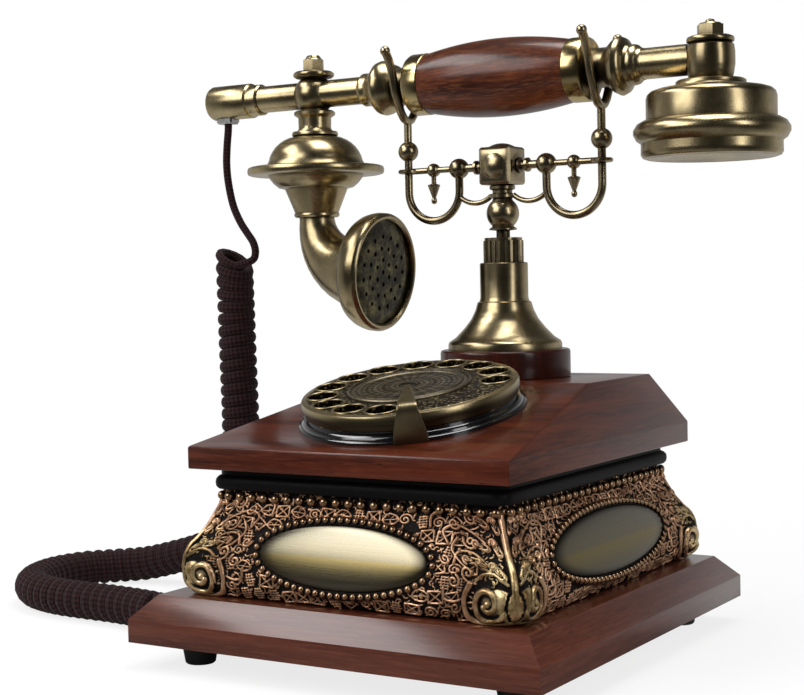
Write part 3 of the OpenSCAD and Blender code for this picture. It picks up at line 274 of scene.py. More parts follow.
def medallionFinish(name, centre, tilt):
    # engine-turned rings and a rosette
    f = Finish(name, metal=1.0)
    flat, x, y, z, radius = f.sloped(centre, tilt)
    angle = y.calc("ARCTAN2", x)
    petals = (angle * 12.0 + radius * 420.0).calc("SINE")
    counter = (angle * 12.0 - radius * 420.0).calc("SINE")
    rings = (radius * 2600.0).calc("SINE")
    inside = 1.0 - radius.between(0.0205, 0.0225)
    height = (petals * counter) * 0.5 * inside + rings * 0.35
    grit = f.noise(flat, 900.0, 3.0, 0.6)
    tone = (height * 0.4 + 0.42 + (grit - 0.5) * 0.6).between(0.1, 0.95)
    f.set("colour", tone.blend((0.02, 0.016, 0.012), (0.34, 0.285, 0.19)))
    f.set("rough", 0.34 + grit * 0.15)
    f.bump(height * 0.5 + grit * 0.25, 0.0005, 0.7)
    return f.material


def braidFinish(name):
    # woven cover read from the cord's own map: u runs along it, v round it
    f = Finish(name, rough=0.85, sheen=0.06, specular=0.12)
    u, v = f.start.node("ShaderNodeUVMap").parts()[:2]
    weave = ((u + v) * math.tau).calc("SINE") * ((u - v) * math.tau).calc("SINE")
    fuzz = f.noise(f.place(), 2500.0, 2.0, 0.6)
    tone = (weave * 0.4 + 0.5 + (fuzz - 0.5) * 0.5).between(0.1, 0.9)
    f.set("colour", tone.blend((0.0045, 0.0018, 0.0022), (0.034, 0.012, 0.014)))
    f.bump(weave * 0.5 + fuzz * 0.4, 0.0003, 0.7)
    return f.material


def ovalFinish(name, share):
    # brushed oval plates with a painted reflection, pale above and gold-brown below, and darker towards their
    # beaded frames
    f = Finish(name, metal=1.0)
    edge = f.attribute("edge")
    level = f.attribute("level")
    brush = f.noise(f.place(scale=(30, 30, 2600)), 1.0, 2.0, 0.5)
    pale, grey, gold, brown, rim, line = (tuple(c * share for c in shade) for shade in (
        (0.34, 0.29, 0.175), (0.33, 0.3, 0.225), (0.42, 0.325, 0.135), (0.24, 0.215, 0.16),
        (0.06, 0.05, 0.035), (0.36, 0.32, 0.22)))
    # painted reflection: pale above the plate's middle and gold-brown below it, as the room would show in it
    upper = level.between(-0.5, 0.9).blend(pale, grey)
    lower = level.between(-0.95, -0.12).blend(brown, gold)
    colour = level.between(-0.1, 0.02).blend(lower, upper)
    colour = edge.between(0.8, 1.0).blend(colour, rim)
    f.set("colour", ((brush - 0.5) * 0.12 + 0.06).blend(colour, line))
    f.set("rough", 0.24 + brush * 0.08)
    f.bump(brush, 0.000006, 0.2)
    return f.material


def grilleFinish(name):
    # pitted plate, nearly black with green and gold left on it
    f = Finish(name, metal=0.9)
    where = f.place()
    cloud = f.noise(where, 130.0, 4.0, 0.65)
    pits = f.cells(where, 520.0)
    tone = cloud.between(0.42, 0.75) * (pits.between(0.1, 0.5) * 0.6 + 0.4)
    f.set("colour", tone.blend((0.03, 0.026, 0.014), (0.2, 0.17, 0.075)))
    f.set("rough", 0.36 - cloud * 0.1)
    f.bump(pits + cloud * 0.6, 0.0003, 0.4)
    return f.material


def clearFinish(name):
    f = Finish(name, rough=0.08, colour=(0.9, 0.9, 0.88), transmission=0.9, ior=1.49)
    f.bump(f.noise(f.place(), 300.0), 0.00002, 0.2)
    return f.material


print("finishes defined")


# mesh helpers

def newPiece(name, mesh, material):
    mesh.materials.append(material)
    piece = bpy.data.objects.new(name, mesh)
    bpy.context.scene.collection.objects.link(piece)
    return piece


def addMesh(name, points, faces, material, smooth=True):
    mesh = bpy.data.meshes.new(name)
    mesh.from_pydata([tuple(p) for p in points], [], [tuple(f) for f in faces])
    mesh.polygons.foreach_set("use_smooth", [smooth] * len(mesh.polygons))
    mesh.update()
    return newPiece(name, mesh, material)


def gridFaces(rows, cols, start=0, closed=False):
    # quads between following rows of points; a closed grid joins its last column to its first
    index = start + np.arange(rows * cols).reshape(rows, cols)
    if closed:
        index = np.hstack([index, index[:, :1]])
    return np.stack([index[:-1, :-1], index[:-1, 1:], index[1:, 1:], index[1:, :-1]], -1).reshape(-1, 4)


def putAttribute(piece, name, values):
    layer = piece.data.attributes.new(name, "FLOAT", "POINT")
    layer.data.foreach_set("value", np.asarray(values, np.float32).ravel())


def plainCopy(piece):
    # what the modifiers make, as a mesh of its own
    bpy.context.view_layer.update()
    made = bpy.data.meshes.new_from_object(piece.evaluated_get(bpy.context.evaluated_depsgraph_get()))
    piece.modifiers.clear()
    old = piece.data
    piece.data = made
    bpy.data.meshes.remove(old)
    made.name = piece.name
    return piece


def catmull(points, perSpan):
    # smooth line through the points
    p = np.array(points, float)
    p = np.vstack([2 * p[0] - p[1], p, 2 * p[-1] - p[-2]])
    t = np.linspace(0, 1, perSpan, endpoint=False)[:, None]
    spans = []
    for a, b, c, d in zip(p[:-3], p[1:-2], p[2:-1], p[3:]):
        spans.append(0.5 * (2 * b + (c - a) * t + (2 * a - 5 * b + 4 * c - d) * t ** 2
                            + (3 * b - a - 3 * c + d) * t ** 3))
    return np.vstack(spans + [p[-2][None]])


def alongLine(line):
    # how far along the line each of its points lies
    return np.concatenate([[0], np.cumsum(np.linalg.norm(np.diff(line, axis=0), axis=1))])


def evenly(line, step):
    along = alongLine(line)
    count = max(2, int(round(along[-1] / step)) + 1)
    wanted = np.linspace(0, along[-1], count)
    return np.column_stack([np.interp(wanted, along, line[:, k]) for k in range(3)]), wanted


def carried(line, side):
    # directions along a line, and a side direction that turns as little as it can
    ahead = np.gradient(line, axis=0)
    ahead /= np.linalg.norm(ahead, axis=1)[:, None]
    sides = []
    s = np.array(side, float)
    for t in ahead:
        s = s - (s @ t) * t
        s /= np.linalg.norm(s)
        sides.append(s)
    sides = np.array(sides)
    return ahead, sides, np.cross(ahead, sides)


def sweep(name, line, lean, share, s, material):
    # tube with closed ends along the line; where share is 1 it is flattened, tall along lean
    sides, n = s["sides"], len(line)
    ahead, first, second = carried(line, (0.01, 1, 0.02))
    tall = lean - (lean * ahead).sum(1)[:, None] * ahead
    angle = np.unwrap(np.arctan2((tall * second).sum(1), (tall * first).sum(1)))
    # the straight stretches keep the angle that the wound one starts or ends with
    held = np.flatnonzero(share > 0)
    angle = np.interp(np.arange(n), held, angle[held])
    up = first * np.cos(angle)[:, None] + second * np.sin(angle)[:, None]
    out = np.cross(ahead, up)
    blend = share[:, None]
    high, thin = (s["thick"] / 2 * (1 - blend) + s[k] * blend for k in ("tall", "flat"))
    turn = np.arange(sides) * math.tau / sides
    rings = (line[:, None, :] + np.cos(turn)[:, None] * (high * up)[:, None, :]
             + np.sin(turn)[:, None] * (thin * out)[:, None, :])
    faces = gridFaces(n, sides, closed=True).tolist()
    faces.append(tuple(range(sides - 1, -1, -1)))
    faces.append(tuple((n - 1) * sides + k for k in range(sides)))
    piece = addMesh(name, rings.reshape(-1, 3), faces, material)
    # the map's u counts thicknesses along the cord, and its v strands round it
    u, v = alongLine(line) / s["thick"], np.arange(sides + 1) / sides * s["strands"]
    places = np.stack(np.broadcast_arrays(u[:, None], v), -1).reshape(-1, 2)[gridFaces(n, sides + 1).ravel()]
    layer = piece.data.uv_layers.new(name="UVMap")
    layer.data.foreach_set("uv", np.vstack([places, np.zeros((2 * sides, 2))]).astype(np.float32).ravel())
    return piece


# cord: one path from the clip down through both curls to the plug, made as two pieces

cordSettings = {
    "thick": 4.0 * mm, "flat": 2.15 * mm, "tall": 3.2 * mm, "sides": 12, "strands": 4,
    "hangCurl": 8.0 * mm, "floorCurl": 7.3 * mm, "hangPitch": 6.3 * mm, "floorPitch": 5.8 * mm,
    "perTurn": 16, "fine": 0.1 * mm, "axisSpan": 24, "leadSpan": 8, "tailSpan": 6,
    # degrees left unwound at both ends, the stretch over which the curl narrows, and how fast
    # a wound turn takes its flat section
    "topFree": 50, "endFree": 40, "narrows": (8 * mm, 12 * mm), "flatten": 1.6,
    # how far the first turns lean along x and y, and how many of them do
    "skew": 0.5, "lean": (1.38, -0.32), "leanTurns": 6,
    "hangLow": 56 * mm, "still": 58 * mm, "lifting": 72 * mm, "split": 74 * mm, "carried": 168 * mm,
    "lead": [(-165.3, 58.4, 255), (-165.3, 58.4, 248), (-166.4, 58.4, 239), (-167, 58.4, 229),
             (-166, 58.4, 218.5), (-163.2, 58.4, 207), (-158.8, 58.4, 198.2), (-154.4, 58.4, 192.2),
             (-150.4, 58.2, 187), (-148.4, 57.2, 181.6), (-149.6, 55.4, 177.4)],
    "hang": [(-163.5, 58.4, 180), (-163, 58.4, 150), (-162.5, 58.4, 120), (-162, 58.4, 95),
             (-162.5, 58.4, 78), (-163, 58.4, 66), (-163, 58.4, 56)],
    "floor": [(-163, 58.4, 56), (-163, 58.4, 52), (-165.5, 58.5, 42), (-171, 58.5, 31), (-180, 58.5, 24),
              (-194, 58.5, 19), (-210, 57.5, 14.5), (-227, 54.5, 10.5), (-242, 47, 9.2), (-253, 34, 9.2),
              (-257, 17, 9.2), (-254, 0, 9.2), (-245, -16, 9.2), (-230, -28, 9.2), (-211, -34.5, 9.2),
              (-191, -36.5, 9.2), (-171, -37, 9.2), (-152, -39, 9.2), (-136, -42, 9.2)],
    "tail": [(-130, -43.2, 14.8), (-123, -46, 15.8), (-116, -49, 16), (-110, -50, 16), (-106, -50, 16)],
}


def makeCord(s):
    braid = braidFinish("maroonBraid")
    axis, along = evenly(catmull(np.array(s["hang"] + s["floor"][1:]) * mm, s["axisSpan"]), s["fine"])
    middle = np.array(s["hang"][-1]) * mm
    hangLength, splitLength = (along[np.argmin(np.abs(axis[:, 2] - level) + np.abs(axis[:, 0] - middle[0]))]
                               for level in (s["hangLow"], s["split"]))
    ahead, side, over = carried(axis, (1, 0, 0))
    pitch = np.where(along < hangLength, s["hangPitch"], s["floorPitch"])
    turned = np.concatenate([[0], np.cumsum(np.diff(along) / pitch[1:])]) * math.tau
    first, last = math.radians(s["topFree"]), turned[-1] - math.radians(s["endFree"])
    picks = np.arange(first, last, math.tau / s["perTurn"])
    low = np.interp(picks, turned, np.arange(len(turned))).astype(int)
    narrowing = [hangLength - s["narrows"][0], hangLength + s["narrows"][1]]
    curl = np.interp(along[low], narrowing, [s["hangCurl"], s["floorCurl"]])
    ring = curl[:, None] * (np.cos(picks)[:, None] * side[low] + np.sin(picks)[:, None] * over[low])
    coil = axis[low] + ring
    # the first turns lean, so that the open end shows
    fade = np.clip(1 - picks / math.tau / s["leanTurns"], 0, 1)
    coil[:, 2] -= s["skew"] * fade * (s["lean"][0] * ring[:, 0] + s["lean"][1] * ring[:, 1])
    # the lead and the tail join the curl, and lose the two spans that lie in it
    lead = catmull(np.vstack([np.array(s["lead"]) * mm, coil[:3]]), s["leadSpan"])[:-2 * s["leadSpan"] - 1]
    tail = catmull(np.vstack([coil[-3:], np.array(s["tail"]) * mm]), s["tailSpan"])[2 * s["tailSpan"] + 1:]
    # the two pieces meet where the cradle carries the curl whole
    split = int(np.searchsorted(along[low], splitLength))
    upper = np.vstack([lead, coil[:split + 1]])
    lower = np.vstack([coil[split:], tail])
    upperAxis = np.vstack([np.tile(ahead[0], (len(lead), 1)), ahead[low][:split + 1]])
    lowerAxis = np.vstack([ahead[low][split:], np.tile(ahead[-1], (len(tail), 1))])
    # round where it runs straight, flatter where it is wound
    ramp = np.minimum(1, np.arange(len(coil)) / s["perTurn"] * s["flatten"])
    wound = np.concatenate([np.zeros(len(lead)), ramp])
    slack = np.concatenate([ramp[::-1], np.zeros(len(tail))])
    upperCovers, lowerCovers = ("cord_lead", "cord_curl_hanging"), ("cord_curl_floor", "cord_tail")
    pieces = []
    for name, line, lean, share, covers, end in (
            ("curlyCordUpper", upper, upperAxis, wound[:len(upper)], upperCovers, "object"),
            ("curlyCordLower", lower, lowerAxis, slack[-len(lower):], lowerCovers, "plug")):
        piece = sweep(name, line, lean, share, s, braid)
        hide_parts(*covers)
        pieces.append(piece)
    for piece, first, second, low, high in ((pieces[0], "cradle", "handset", s["split"], s["carried"]),
                                            (pieces[1], "root", "cradle", s["still"], s["lifting"])):
        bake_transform(piece)


makeCord(cordSettings)


# stage

stageSettings = {
    "floor": 4.0, "level": -0.0003, "colour": 0.86, "clearFrom": 0.24, "clearTo": 0.55, "near": 0.8,
    "mirror": 0.82, "behind": 0.5, "before": 0.02, "diffuse": 0.38, "away": (-0.53, 0.85), "overhead": 0.12,
}


def roomLevel(x, y, s):
    # what polished things see level with them: pale behind the object, dark towards the camera
    return (x * s["away"][0] + y * s["away"][1]).between(-0.35, 0.5, s["before"], s["behind"])


def rays(base):
    kinds = ("Camera", "Glossy", "Transmission")
    return (base.node("ShaderNodeLightPath", out="Is %s Ray" % kind) for kind in kinds)


def makeStage(s):
    f = Finish("studioFloor", rough=0.9, colour=(s["colour"],) * 3, specular=0.1)
    camera, shiny, through = rays(f.start)
    x, y = f.place().parts()[:2]
    away = (x * x + y * y) ** 0.5
    far = away.between(s["clearFrom"], s["clearTo"])
    clear = camera.calc("MAXIMUM", through)
    near, mirror = (s[k] + far * (1.0 - s[k]) for k in ("near", "mirror"))
    glow = f.start.node("ShaderNodeEmission", {
        "Color": (1, 1, 1), "Strength": clear + (1.0 - clear) * roomLevel(x / away, y / away, s)})
    own = Wire(f.tree, f.shader.outputs[0])
    mix = f.start.node("ShaderNodeMixShader", {0: clear * near + shiny * mirror, 1: own, 2: glow})
    feed(f.tree, f.tree.nodes["Material Output"].inputs[0], mix)
    corners = [(x * s["floor"], y * s["floor"], s["level"]) for x, y in ((-1, -1), (1, -1), (1, 1), (-1, 1))]
    floor = addMesh("studioFloor", corners, [(0, 1, 2, 3)], f.material, False)
    world = bpy.data.worlds.new("studio")
    bpy.context.scene.world = world
    world.use_nodes = True
    tree = world.node_tree
    base = Wire(tree, None)
    camera, shiny, glass = rays(base)
    x, y, z = base.node("ShaderNodeTexCoord", out="Generated").parts()
    clear = camera.calc("MAXIMUM", glass)
    room = roomLevel(x, y, s) * z.between(0.1, 0.6, 1.0, s["overhead"])
    white = clear + (1.0 - clear) * (shiny * room + (1.0 - shiny) * s["diffuse"])
    feed(tree, tree.nodes["Background"].inputs["Color"], (1, 1, 1))
    feed(tree, tree.nodes["Background"].inputs["Strength"], white)


lampSettings = {
    # place, aim, width, height and watts
    "keyLamp": ((-0.61, -1.15, 0.92), (0, 0, 0.15), 0.95, 0.9, 9.6),
    "sheenLamp": ((-0.93, -0.51, 1.35), (0, -0.1, 0.03), 0.95, 0.5, 8.0),
    "sideLamp": ((1.25, -0.38, 0.62), (0, 0, 0.13), 0.32, 0.95, 3.4),
    "topLamp": ((0.1, 0.1, 1.35), (0, 0, 0.1), 0.8, 0.6, 10.0),
}


def makeLamps(lamps):
    for name, (place, aim, wide, tall, watts) in lamps.items():
        light = bpy.data.lights.new(name, "AREA")
        light.shape = "RECTANGLE"
        light.size = wide
        light.size_y = tall
        light.energy = watts
        holder = bpy.data.objects.new(name, light)
        holder.location = place
        holder.rotation_euler = (Vector(aim) - Vector(place)).to_track_quat("-Z", "Y").to_euler()
        bpy.context.scene.collection.objects.link(holder)


makeStage(stageSettings)
makeLamps(lampSettings)
bpy.context.scene.view_settings.view_transform = "Standard"
print("stage and lamps set")


# carved case

caseLow, caseHigh = (v[2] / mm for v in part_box("carved_body"))
caseSettings = {
    "low": caseLow, "high": caseHigh, "centreY": 3.2, "neckWide": 140.0, "neckDeep": 161.0, "belly": 12.5,
    "radius": 7.0, "arcCols": 13, "step": 0.31, "levels": 260, "smooth": 25, "top": 0.86, "seed": 40,
    "swell": [(0, 0.76), (0.09, 0.96), (0.2, 1.0), (0.31, 0.92), (0.38, 0.84), (0.44, 0.72), (0.54, 0.52),
              (0.64, 0.32), (0.74, 0.12), (0.81, 0.0), (1, 0.0)],
    "ear": [(0, -0.6), (0.09, 1.2), (0.2, 1.9), (0.31, 2.2), (0.38, 1.6), (0.44, 0.2), (0.54, -0.9),
            (0.64, -0.9), (0.74, -0.6), (0.81, 0.0), (1, 0.0)],
    # the relief's height, how deep its ground lies, the shell's thickness, and how far the ears
    # reach from the corner lines
    "depth": 1.15, "sunk": 1.0, "backing": 3.5, "earReach": 24.0,
    # rows of small ornaments, clear of the corners and of the plates, the commas between them, and
    # how far up the wall the plates' middle lies
    "tileRow": 6.1, "tileGap": 7.6, "firstRow": 3.4, "cornerClear": 17, "tileClear": (4.6, 4.3),
    "commas": 900, "commaClear": (3, 3), "ovalShare": 0.437,
    # where the gold of the corners fades out, sideways and upwards
    "gildOut": (8, 14), "gildUp": (24, 10),
    "frontOval": (41.5, 13.5), "sideOval": (55.5, 13.5), "rim": 3.4, "ovalLow": 0.13, "ovalHigh": 0.63,
    "ovalOut": 0.69, "tilt": 0.66, "dome": 2.4, "foot": 1.0, "underPlate": -0.6, "underBeads": 0.9,
    # rows of beads: radius and pitch, and how far out they sit
    "neckBead": (1.95, 6.3), "neckOut": 1.6, "beadShare": 0.775, "ovalBead": (1.38, 3.75), "beadRing": 2.1,
    "beadLift": 1.2,
}


def ovalFrames(s):
    # centre, along, upward and outward directions of the four plates, and their half sizes
    tall = s["high"] - s["low"]
    tilt = math.atan(s["belly"] * s["tilt"] / ((s["ovalHigh"] - s["ovalLow"]) * tall))
    level = s["low"] + tall * (s["ovalLow"] + s["ovalHigh"]) / 2
    frames = []
    walls = zip((0, 90, 180, 270), ("neckDeep", "neckWide") * 2, ("frontOval", "sideOval") * 2)
    for turn, deep, oval in walls:
        spin = Matrix.Rotation(math.radians(turn), 3, "Z")
        along, out, up, middle = (np.array(spin @ Vector(v)) for v in (
            (1, 0, 0), (0, -math.cos(tilt), math.sin(tilt)), (0, math.sin(tilt), math.cos(tilt)),
            (0, -s[deep] / 2 - s["belly"] * s["ovalOut"], level)))
        middle[1] += s["centreY"]
        frames.append((middle, along, up, out, s[oval]))
    return frames


def segmentGap(a, b, p, q):
    # distance from grid points to a straight stretch
    p, q = np.array(p, float), np.array(q, float)
    d = q - p
    t = np.clip(((a - p[0]) * d[0] + (b - p[1]) * d[1]) / max(d @ d, 1e-9), 0, 1)
    return np.hypot(a - p[0] - t * d[0], b - p[1] - t * d[1])


class Relief:
    # height over a wall, drawn with round strokes; across is measured along the wall and up its slope
    def __init__(self, across, up):
        self.across = across
        self.up = up
        self.height = np.zeros_like(across)

    def stroke(self, line, width, height):
        line = np.array(line, float)
        low, high = line.min(0) - width, line.max(0) + width
        rows = np.where((self.up[:, 0] > low[1]) & (self.up[:, 0] < high[1]))[0]
        if not len(rows):
            return
        cols = np.where((self.across[rows].max(0) > low[0]) & (self.across[rows].min(0) < high[0]))[0]
        if not len(cols):
            return
        part = np.ix_(rows, cols)
        a, b = self.across[part], self.up[part]
        gap = np.full(a.shape, 1e9)
        for p, q in zip(line[:-1], line[1:]):
            gap = np.minimum(gap, segmentGap(a, b, p, q))
        rise = height * np.sqrt(np.clip(1 - (gap / width) ** 2, 0, 1))
        self.height[part] = np.maximum(self.height[part], rise)

    def groove(self, line, width, depth):
        # the same stroke cut into what is there
        before = self.height.copy()
        self.height = np.zeros_like(before)
        self.stroke(line, width, depth)
        self.height = np.maximum(0, before - self.height * (before > 0.05))


def spiral(cx, cy, outer, inner, start, turns, flat=1.0):
    n = max(8, int(abs(turns) * 16))
    steps = np.linspace(0, 1, n + 1)
    r = outer + (inner - outer) * steps ** 0.8
    a = math.radians(start) + math.tau * turns * steps
    return np.column_stack([cx + r * np.cos(a), cy + flat * r * np.sin(a)])


def bowed(points):
    return catmull([(x, y, 0) for x, y in points], 6)[:, :2]


def tile(kind, x, y, w, h, lean):
    # strokes of one small ornament: 0 a crossed box, 1 weave, 2 a scroll, 3 a leaf, 4 a diamond
    c, s = math.cos(lean), math.sin(lean)

    def at(px, py):
        return (x + c * px * w - s * py * h, y + s * px * w + c * py * h)

    box = [at(-0.5, -0.5), at(0.5, -0.42), at(0.46, 0.5), at(-0.48, 0.44), at(-0.5, -0.5)]
    if kind == 0:
        return [(box, 0.45, 1.0), ([at(-0.45, -0.45), at(0.42, 0.44)], 0.4, 0.9),
                ([at(0.44, -0.4), at(-0.42, 0.4)], 0.4, 0.9)]
    if kind == 1:
        rows = [([at(-0.42 + 0.1 * abs(k), k * 0.22), at(0.42 - 0.1 * abs(k), k * 0.22)], 0.42, 1.0)
                for k in (-2, -1, 0, 1, 2)]
        cols = [([at(k * 0.24, -0.5), at(k * 0.24, 0.5)], 0.38, 0.95) for k in (-1, 0, 1)]
        return rows + cols
    if kind == 2:
        return [(spiral(x, y, 0.5 * w, 0.08 * w, math.degrees(lean) * 3, 1.6, h / w), 0.45, 1.0),
                ([at(0.5, 0.0), at(0.62, 0.5)], 0.42, 0.85)]
    if kind == 3:
        leaf = bowed([at(-0.6, -0.1), at(-0.2, 0.42), at(0.3, 0.35), at(0.6, 0.0), at(0.25, -0.38),
                      at(-0.25, -0.36), at(-0.6, -0.1)])
        return [(leaf, 0.42, 1.0), ([at(-0.55, -0.08), at(0.5, 0.02)], 0.36, 0.85),
                ([at(0.0, 0.0), at(0.2, 0.3)], 0.32, 0.7), ([at(-0.1, 0.0), at(0.1, -0.3)], 0.32, 0.7)]
    diamond = [at(-0.5, 0), at(0, 0.5), at(0.5, 0), at(0, -0.5), at(-0.5, 0)]
    return [(diamond, 0.45, 1.0), ([at(-0.2, 0), at(0.2, 0)], 0.6, 1.1)]


# the leaves at a corner: place, length and direction
cornerLeaves = [(3.4, 19.5, 5.4, 0.9), (8.5, 22.5, 5.2, 0.5), (3.2, 29.0, 4.8, 1.1), (8.8, 31.0, 4.4, 0.35),
                (2.6, 38.0, 4.2, 1.2), (7.4, 40.0, 3.6, 0.6), (14.5, 25.5, 4.0, 0.1)]


def cornerOrnament():
    # leaf and scroll work, measured from the corner line outwards and from the bottom up: a plump
    # boss with a scroll eye at the foot, then the stalk, its leaves, scrolls, tendrils and knobs
    s = [(bowed([(0, 5), (5, 9), (9, 9)]), 6.4, 1.9),
         (spiral(10.5, 9.5, 8.2, 2.2, 200, 1.35), 1.5, 2.6),
         (bowed([(0.5, 1.8), (8, 0.9), (16, 1.5), (20.5, 5), (21.5, 11), (18.5, 16.5)]), 1.35, 2.1),
         ([(10.6, 9.3), (10.7, 9.3)], 2.0, 2.6),
         (bowed([(0, 12), (0, 24), (0, 34), (0, 44)]), 1.3, 1.7)]
    for x, y, w, turn in cornerLeaves:
        tip = (x + w * math.cos(turn), y + w * math.sin(turn))
        s += [([(x, y), tip], 1.9, 1.45),
              (spiral(tip[0], tip[1], 1.9, 0.4, math.degrees(turn) - 80, 1.1), 0.62, 2.0)]
    s += [(spiral(x, y, r, 0.5, start, turns), 0.62, 1.35) for x, y, r, start, turns in (
        (19.0, 20.5, 3.2, 280, 1.3), (15.5, 33.0, 3.4, 30, -1.5), (13.5, 42.5, 2.9, 60, -1.5),
        (26.0, 17.0, 2.9, 120, 1.4), (28.5, 25.5, 2.4, 10, -1.3), (21.5, 40.0, 2.6, 200, 1.4),
        (25.5, 6.5, 2.6, 160, 1.3))]
    s += [(bowed(line), 0.7, 1.25) for line in (
        [(2, 17), (6, 20.5), (11.5, 20.5), (15.5, 18)], [(9, 33), (15, 37.5), (21, 39.5), (27, 37), (26, 32)],
        [(17, 21), (22, 25), (24.5, 30), (21, 34.5)], [(20, 12), (26, 9), (31, 10), (31, 14)],
        [(18, 44), (24, 45.5), (31, 43), (33, 38)], [(11, 26), (16, 29), (22, 28.5), (25, 24)])]
    s += [([(x, y), (x + 0.01, y)], 1.1, 1.6) for x, y in (
        (0, 27), (0, 31.5), (0, 36), (16.5, 28.5), (21, 29.5), (23.5, 21.5), (12, 36.5), (18.5, 36.5))]
    return s


def cornerVeins():
    # grooves that part the boss and the leaves
    s = [(bowed([(1.5, 3.5), (3.0, 8.5), (2.0, 13.5)]), 0.5, 1.1),
         (bowed([(14.0, 3.0), (16.5, 6.0), (16.2, 11.0)]), 0.45, 1.0)]
    reach = 3.6
    for x, y, w, turn in cornerLeaves:
        for side in (-0.7, 0.0, 0.7):
            across = (-math.sin(turn) * side, math.cos(turn) * side)
            end = (x + reach * math.cos(turn) + across[0] * 1.4, y + reach * math.sin(turn) + across[1] * 1.4)
            s.append(([(x + across[0] * 0.4, y + across[1] * 0.4), end], 0.26, 0.7))
    return s


def eased(share):
    return share * share * (3 - 2 * share)


def wallSheet(s, half, out, oval, seed):
    # grid over one wall from corner line to corner line
    shares = np.linspace(0, s["top"], s["levels"])
    kernel = np.hanning(s["smooth"]) / np.hanning(s["smooth"]).sum()
    swell, ear = (np.convolve(np.pad(np.interp(shares, *zip(*s[k])), s["smooth"] // 2, mode="edge"), kernel,
                              "valid") for k in ("swell", "ear"))
    z = s["low"] + shares * (s["high"] - s["low"])
    push = s["belly"] * swell
    slope = np.concatenate([[0], np.cumsum(np.hypot(np.diff(z), np.diff(push)))])
    wanted = np.linspace(0, slope[-1], int(slope[-1] / s["step"]))
    z, push, ear = (np.interp(wanted, slope, v) for v in (z, push, ear))
    dPush, dZ = np.gradient(push), np.gradient(z)
    size = np.hypot(dPush, dZ)
    lean, rise = dPush / size, dZ / size
    r, arcCols = s["radius"], s["arcCols"]
    straight = int(2 * (half + s["belly"] - r) / s["step"])
    bend = np.linspace(math.pi / 4, 0, arcCols, endpoint=False)
    part = np.concatenate([-np.ones(arcCols), np.linspace(-1, 1, straight), np.ones(arcCols)])
    turn = np.concatenate([-bend, np.zeros(straight), bend[::-1]])
    run = (half + push - r)[:, None]
    across = part * run + r * turn
    up = np.repeat(wanted[:, None], across.shape[1], 1)
    corner = run + r * math.pi / 4 - np.abs(across)
    relief = Relief(across, up)
    drawTiles(s, relief, oval, slope[-1], seed)
    # the same ornament grows from both corner lines
    ornament = Relief(corner, up)
    for line, width, height in cornerOrnament():
        ornament.stroke(line, width, height)
    for line, width, depth in cornerVeins():
        ornament.groove(line, width, depth)
    height = np.where(ornament.height > 0.35, ornament.height, np.maximum(relief.height, ornament.height))
    # pebbled ground wherever no stroke stands
    pebble = np.random.default_rng(seed).random(height.shape)
    for _ in range(2):
        pebble = (pebble + np.roll(pebble, 1, 0) + np.roll(pebble, 1, 1) + np.roll(pebble, -1, 0)) / 4
    height = np.where(height > 0.25, height, np.maximum(height, 0.12 + (pebble - 0.5) * 0.45))
    near = eased(np.clip(1 - corner / s["earReach"], 0, 1))
    lift = ear[:, None] * near + height * s["depth"] - s["sunk"]
    x = part * run + r * np.sin(turn)
    y = (out + push - r)[:, None] + r * np.cos(turn)
    x = x + lift * rise[:, None] * np.sin(turn)
    y = y + lift * rise[:, None] * np.cos(turn)
    level = z[:, None] - lift * lean[:, None]
    gild = (np.clip(1 - (corner - s["gildOut"][0]) / s["gildOut"][1], 0, 1)
            * np.clip(1 - (up - s["gildUp"][0]) / s["gildUp"][1], 0, 1))
    return x, y, level, height, gild


def drawTiles(s, relief, oval, reach, seed):
    pick = random.Random(seed)
    middle = reach * s["ovalShare"]
    half = np.abs(relief.across).max() - s["cornerClear"]
    rowGap, colGap = s["tileRow"], s["tileGap"]

    def onPlate(x, y, clear):
        return (x / (oval[0] + clear[0])) ** 2 + ((y - middle) / (oval[1] + clear[1])) ** 2 < 1

    for row in range(int((reach - 3) / rowGap)):
        for k in range(int(2 * half / colGap) + 1):
            x = -half + (k + (row % 2) * 0.5) * colGap + pick.uniform(-0.6, 0.6)
            y = s["firstRow"] + row * rowGap + pick.uniform(-0.4, 0.4)
            if onPlate(x, y, s["tileClear"]):
                continue
            kind = pick.choice((0, 1, 0, 1, 0, 1, 2, 3, 4))
            for line, width, height in tile(kind, x, y, pick.uniform(6.0, 7.0), pick.uniform(4.9, 5.6),
                                            pick.uniform(-0.2, 0.2)):
                relief.stroke(line, width, height)
    # short commas fill the ground between them
    for _ in range(s["commas"]):
        x, y = pick.uniform(-half - 10, half + 10), pick.uniform(1, reach - 1)
        turn = pick.uniform(0, math.tau)
        if onPlate(x, y, s["commaClear"]):
            continue
        curl = [(x + 1.1 * math.cos(turn + k * 0.8), y + 1.0 * math.sin(turn + k * 0.8)) for k in range(4)]
        relief.stroke(curl, 0.34, 0.8)


